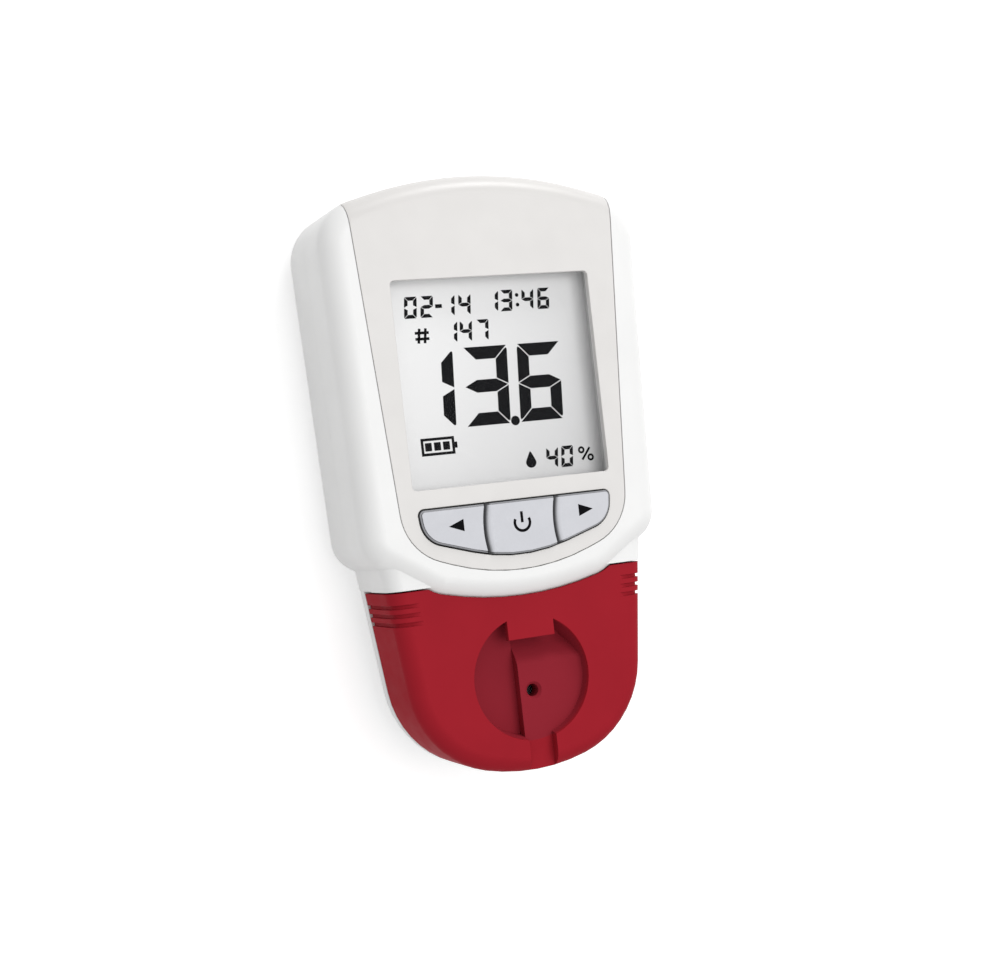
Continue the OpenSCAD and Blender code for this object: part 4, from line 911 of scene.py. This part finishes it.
class METER_OT_studio(bpy.types.Operator):
    """Makes the floor, the lamps and the camera"""
    bl_idname = "meter.studio"
    bl_label = "Studio"

    def execute(self, context):
        looks = context.scene.meter_studio
        self.floor(looks)
        self.world(context.scene, looks)
        self.lamp("main lamp", MAIN_LAMP_PLACE, looks.key_power, looks.key_size)
        self.lamp("back lamp", BACK_LAMP_PLACE, looks.back_power, looks.key_size / 2)
        self.camera(context.scene, looks)
        context.scene.view_settings.view_transform = "Standard"
        return {"FINISHED"}

    def seen(self, tree):
        """1 for rays that show the surface to the camera, directly, in metal or through glass"""
        path = add(tree, "ShaderNodeLightPath")
        first = add(tree, "ShaderNodeMath", {
            0: path.outputs["Is Camera Ray"], 1: path.outputs["Is Glossy Ray"]}, operation="MAXIMUM")
        return add(tree, "ShaderNodeMath", {
            0: first.outputs[0], 1: path.outputs["Is Transmission Ray"]}, operation="MAXIMUM").outputs[0]

    def floor(self, looks):
        bm = bmesh.new()
        bmesh.ops.create_grid(bm, x_segments=8, y_segments=8, size=3.0)
        mesh = bpy.data.meshes.new("floor")
        bm.to_mesh(mesh)
        bm.free()
        floor = bpy.data.objects.new("floor", mesh)
        bpy.context.scene.collection.objects.link(floor)
        material, tree, shader = new_material("pale studio floor")
        where = place(tree)
        tree.links.new(ramp(tree, noise(tree, where, 0.12, 2), [
            (0.3, spread(looks.floor_colour, -0.004)), (0.7, spread(looks.floor_colour, 0.004))]),
            shader.inputs["Base Color"])
        shader.inputs["Roughness"].default_value = 0.9
        shader.inputs["Specular IOR Level"].default_value = 0.0
        shader.inputs["Emission Color"].default_value = (1, 1, 1, 1)
        lift = add(tree, "ShaderNodeMath", {0: self.seen(tree), 1: looks.floor_lift}, operation="MULTIPLY")
        tree.links.new(lift.outputs[0], shader.inputs["Emission Strength"])
        mesh.materials.append(material)

    def world(self, scene, looks):
        world = bpy.data.worlds.new("white studio")
        world.use_nodes = True
        scene.world = world
        tree = world.node_tree
        back = tree.nodes["Background"]
        back.inputs["Color"].default_value = (1, 1, 1, 1)
        strength = span(tree, self.seen(tree), looks.world_strength, 1.0, (0, 1))
        tree.links.new(strength, back.inputs["Strength"])

    def lamp(self, name, where, power, size):
        data = bpy.data.lights.new(name, "AREA")
        data.energy = power
        data.shape = "SQUARE"
        data.size = size
        lamp = bpy.data.objects.new(name, data)
        bpy.context.scene.collection.objects.link(lamp)
        lamp.location = where
        target = Vector((0, 0, 10 * MM))
        lamp.rotation_euler = (target - lamp.location).to_track_quat("-Z", "Y").to_euler()

    def camera(self, scene, looks):
        data = bpy.data.cameras.new("camera")
        data.lens = looks.lens
        data.sensor_width = 36
        data.sensor_fit = "HORIZONTAL"
        data.clip_start = 0.01
        camera = bpy.data.objects.new("camera", data)
        scene.collection.objects.link(camera)
        camera.location = CAMERA_PLACE
        camera.rotation_euler = [math.radians(a) for a in CAMERA_TURN]
        scene.camera = camera


class METER_PT_panel(bpy.types.Panel):
    bl_label = "Hemoglobin Meter"
    bl_idname = "METER_PT_panel"
    bl_space_type = "VIEW_3D"
    bl_region_type = "UI"
    bl_category = "Meter"

    def draw(self, context):
        for group in ("meter_plastics", "meter_keys", "meter_display", "meter_studio"):
            settings = getattr(context.scene, group)
            box = self.layout.box()
            for name in settings.__annotations__:
                box.prop(settings, name)
        for operator in OPERATORS:
            self.layout.operator(operator.bl_idname)


GROUPS = {"meter_plastics": MeterPlastics, "meter_keys": MeterKeys,
          "meter_display": MeterDisplay, "meter_studio": MeterStudio}
OPERATORS = (METER_OT_housings, METER_OT_front_plate, METER_OT_display, METER_OT_keys,
             METER_OT_strip_holder, METER_OT_optics, METER_OT_main_board, METER_OT_cells,
             METER_OT_battery_door, METER_OT_sockets, METER_OT_fasteners, METER_OT_studio)


def register():
    for name, group in GROUPS.items():
        bpy.utils.register_class(group)
        setattr(bpy.types.Scene, name, PointerProperty(type=group))
    for cls in (*OPERATORS, METER_PT_panel):
        bpy.utils.register_class(cls)


def unregister():
    for cls in reversed((*OPERATORS, METER_PT_panel)):
        bpy.utils.unregister_class(cls)
    for name, group in GROUPS.items():
        delattr(bpy.types.Scene, name)
        bpy.utils.unregister_class(group)


def main():
    register()
    for operator in OPERATORS:
        call = getattr(bpy.ops.meter, operator.bl_idname.split(".")[1])
        if call() != {"FINISHED"}:
            raise RuntimeError(operator.bl_label + " wasn't made")


if __name__ == "__main__":
    main()
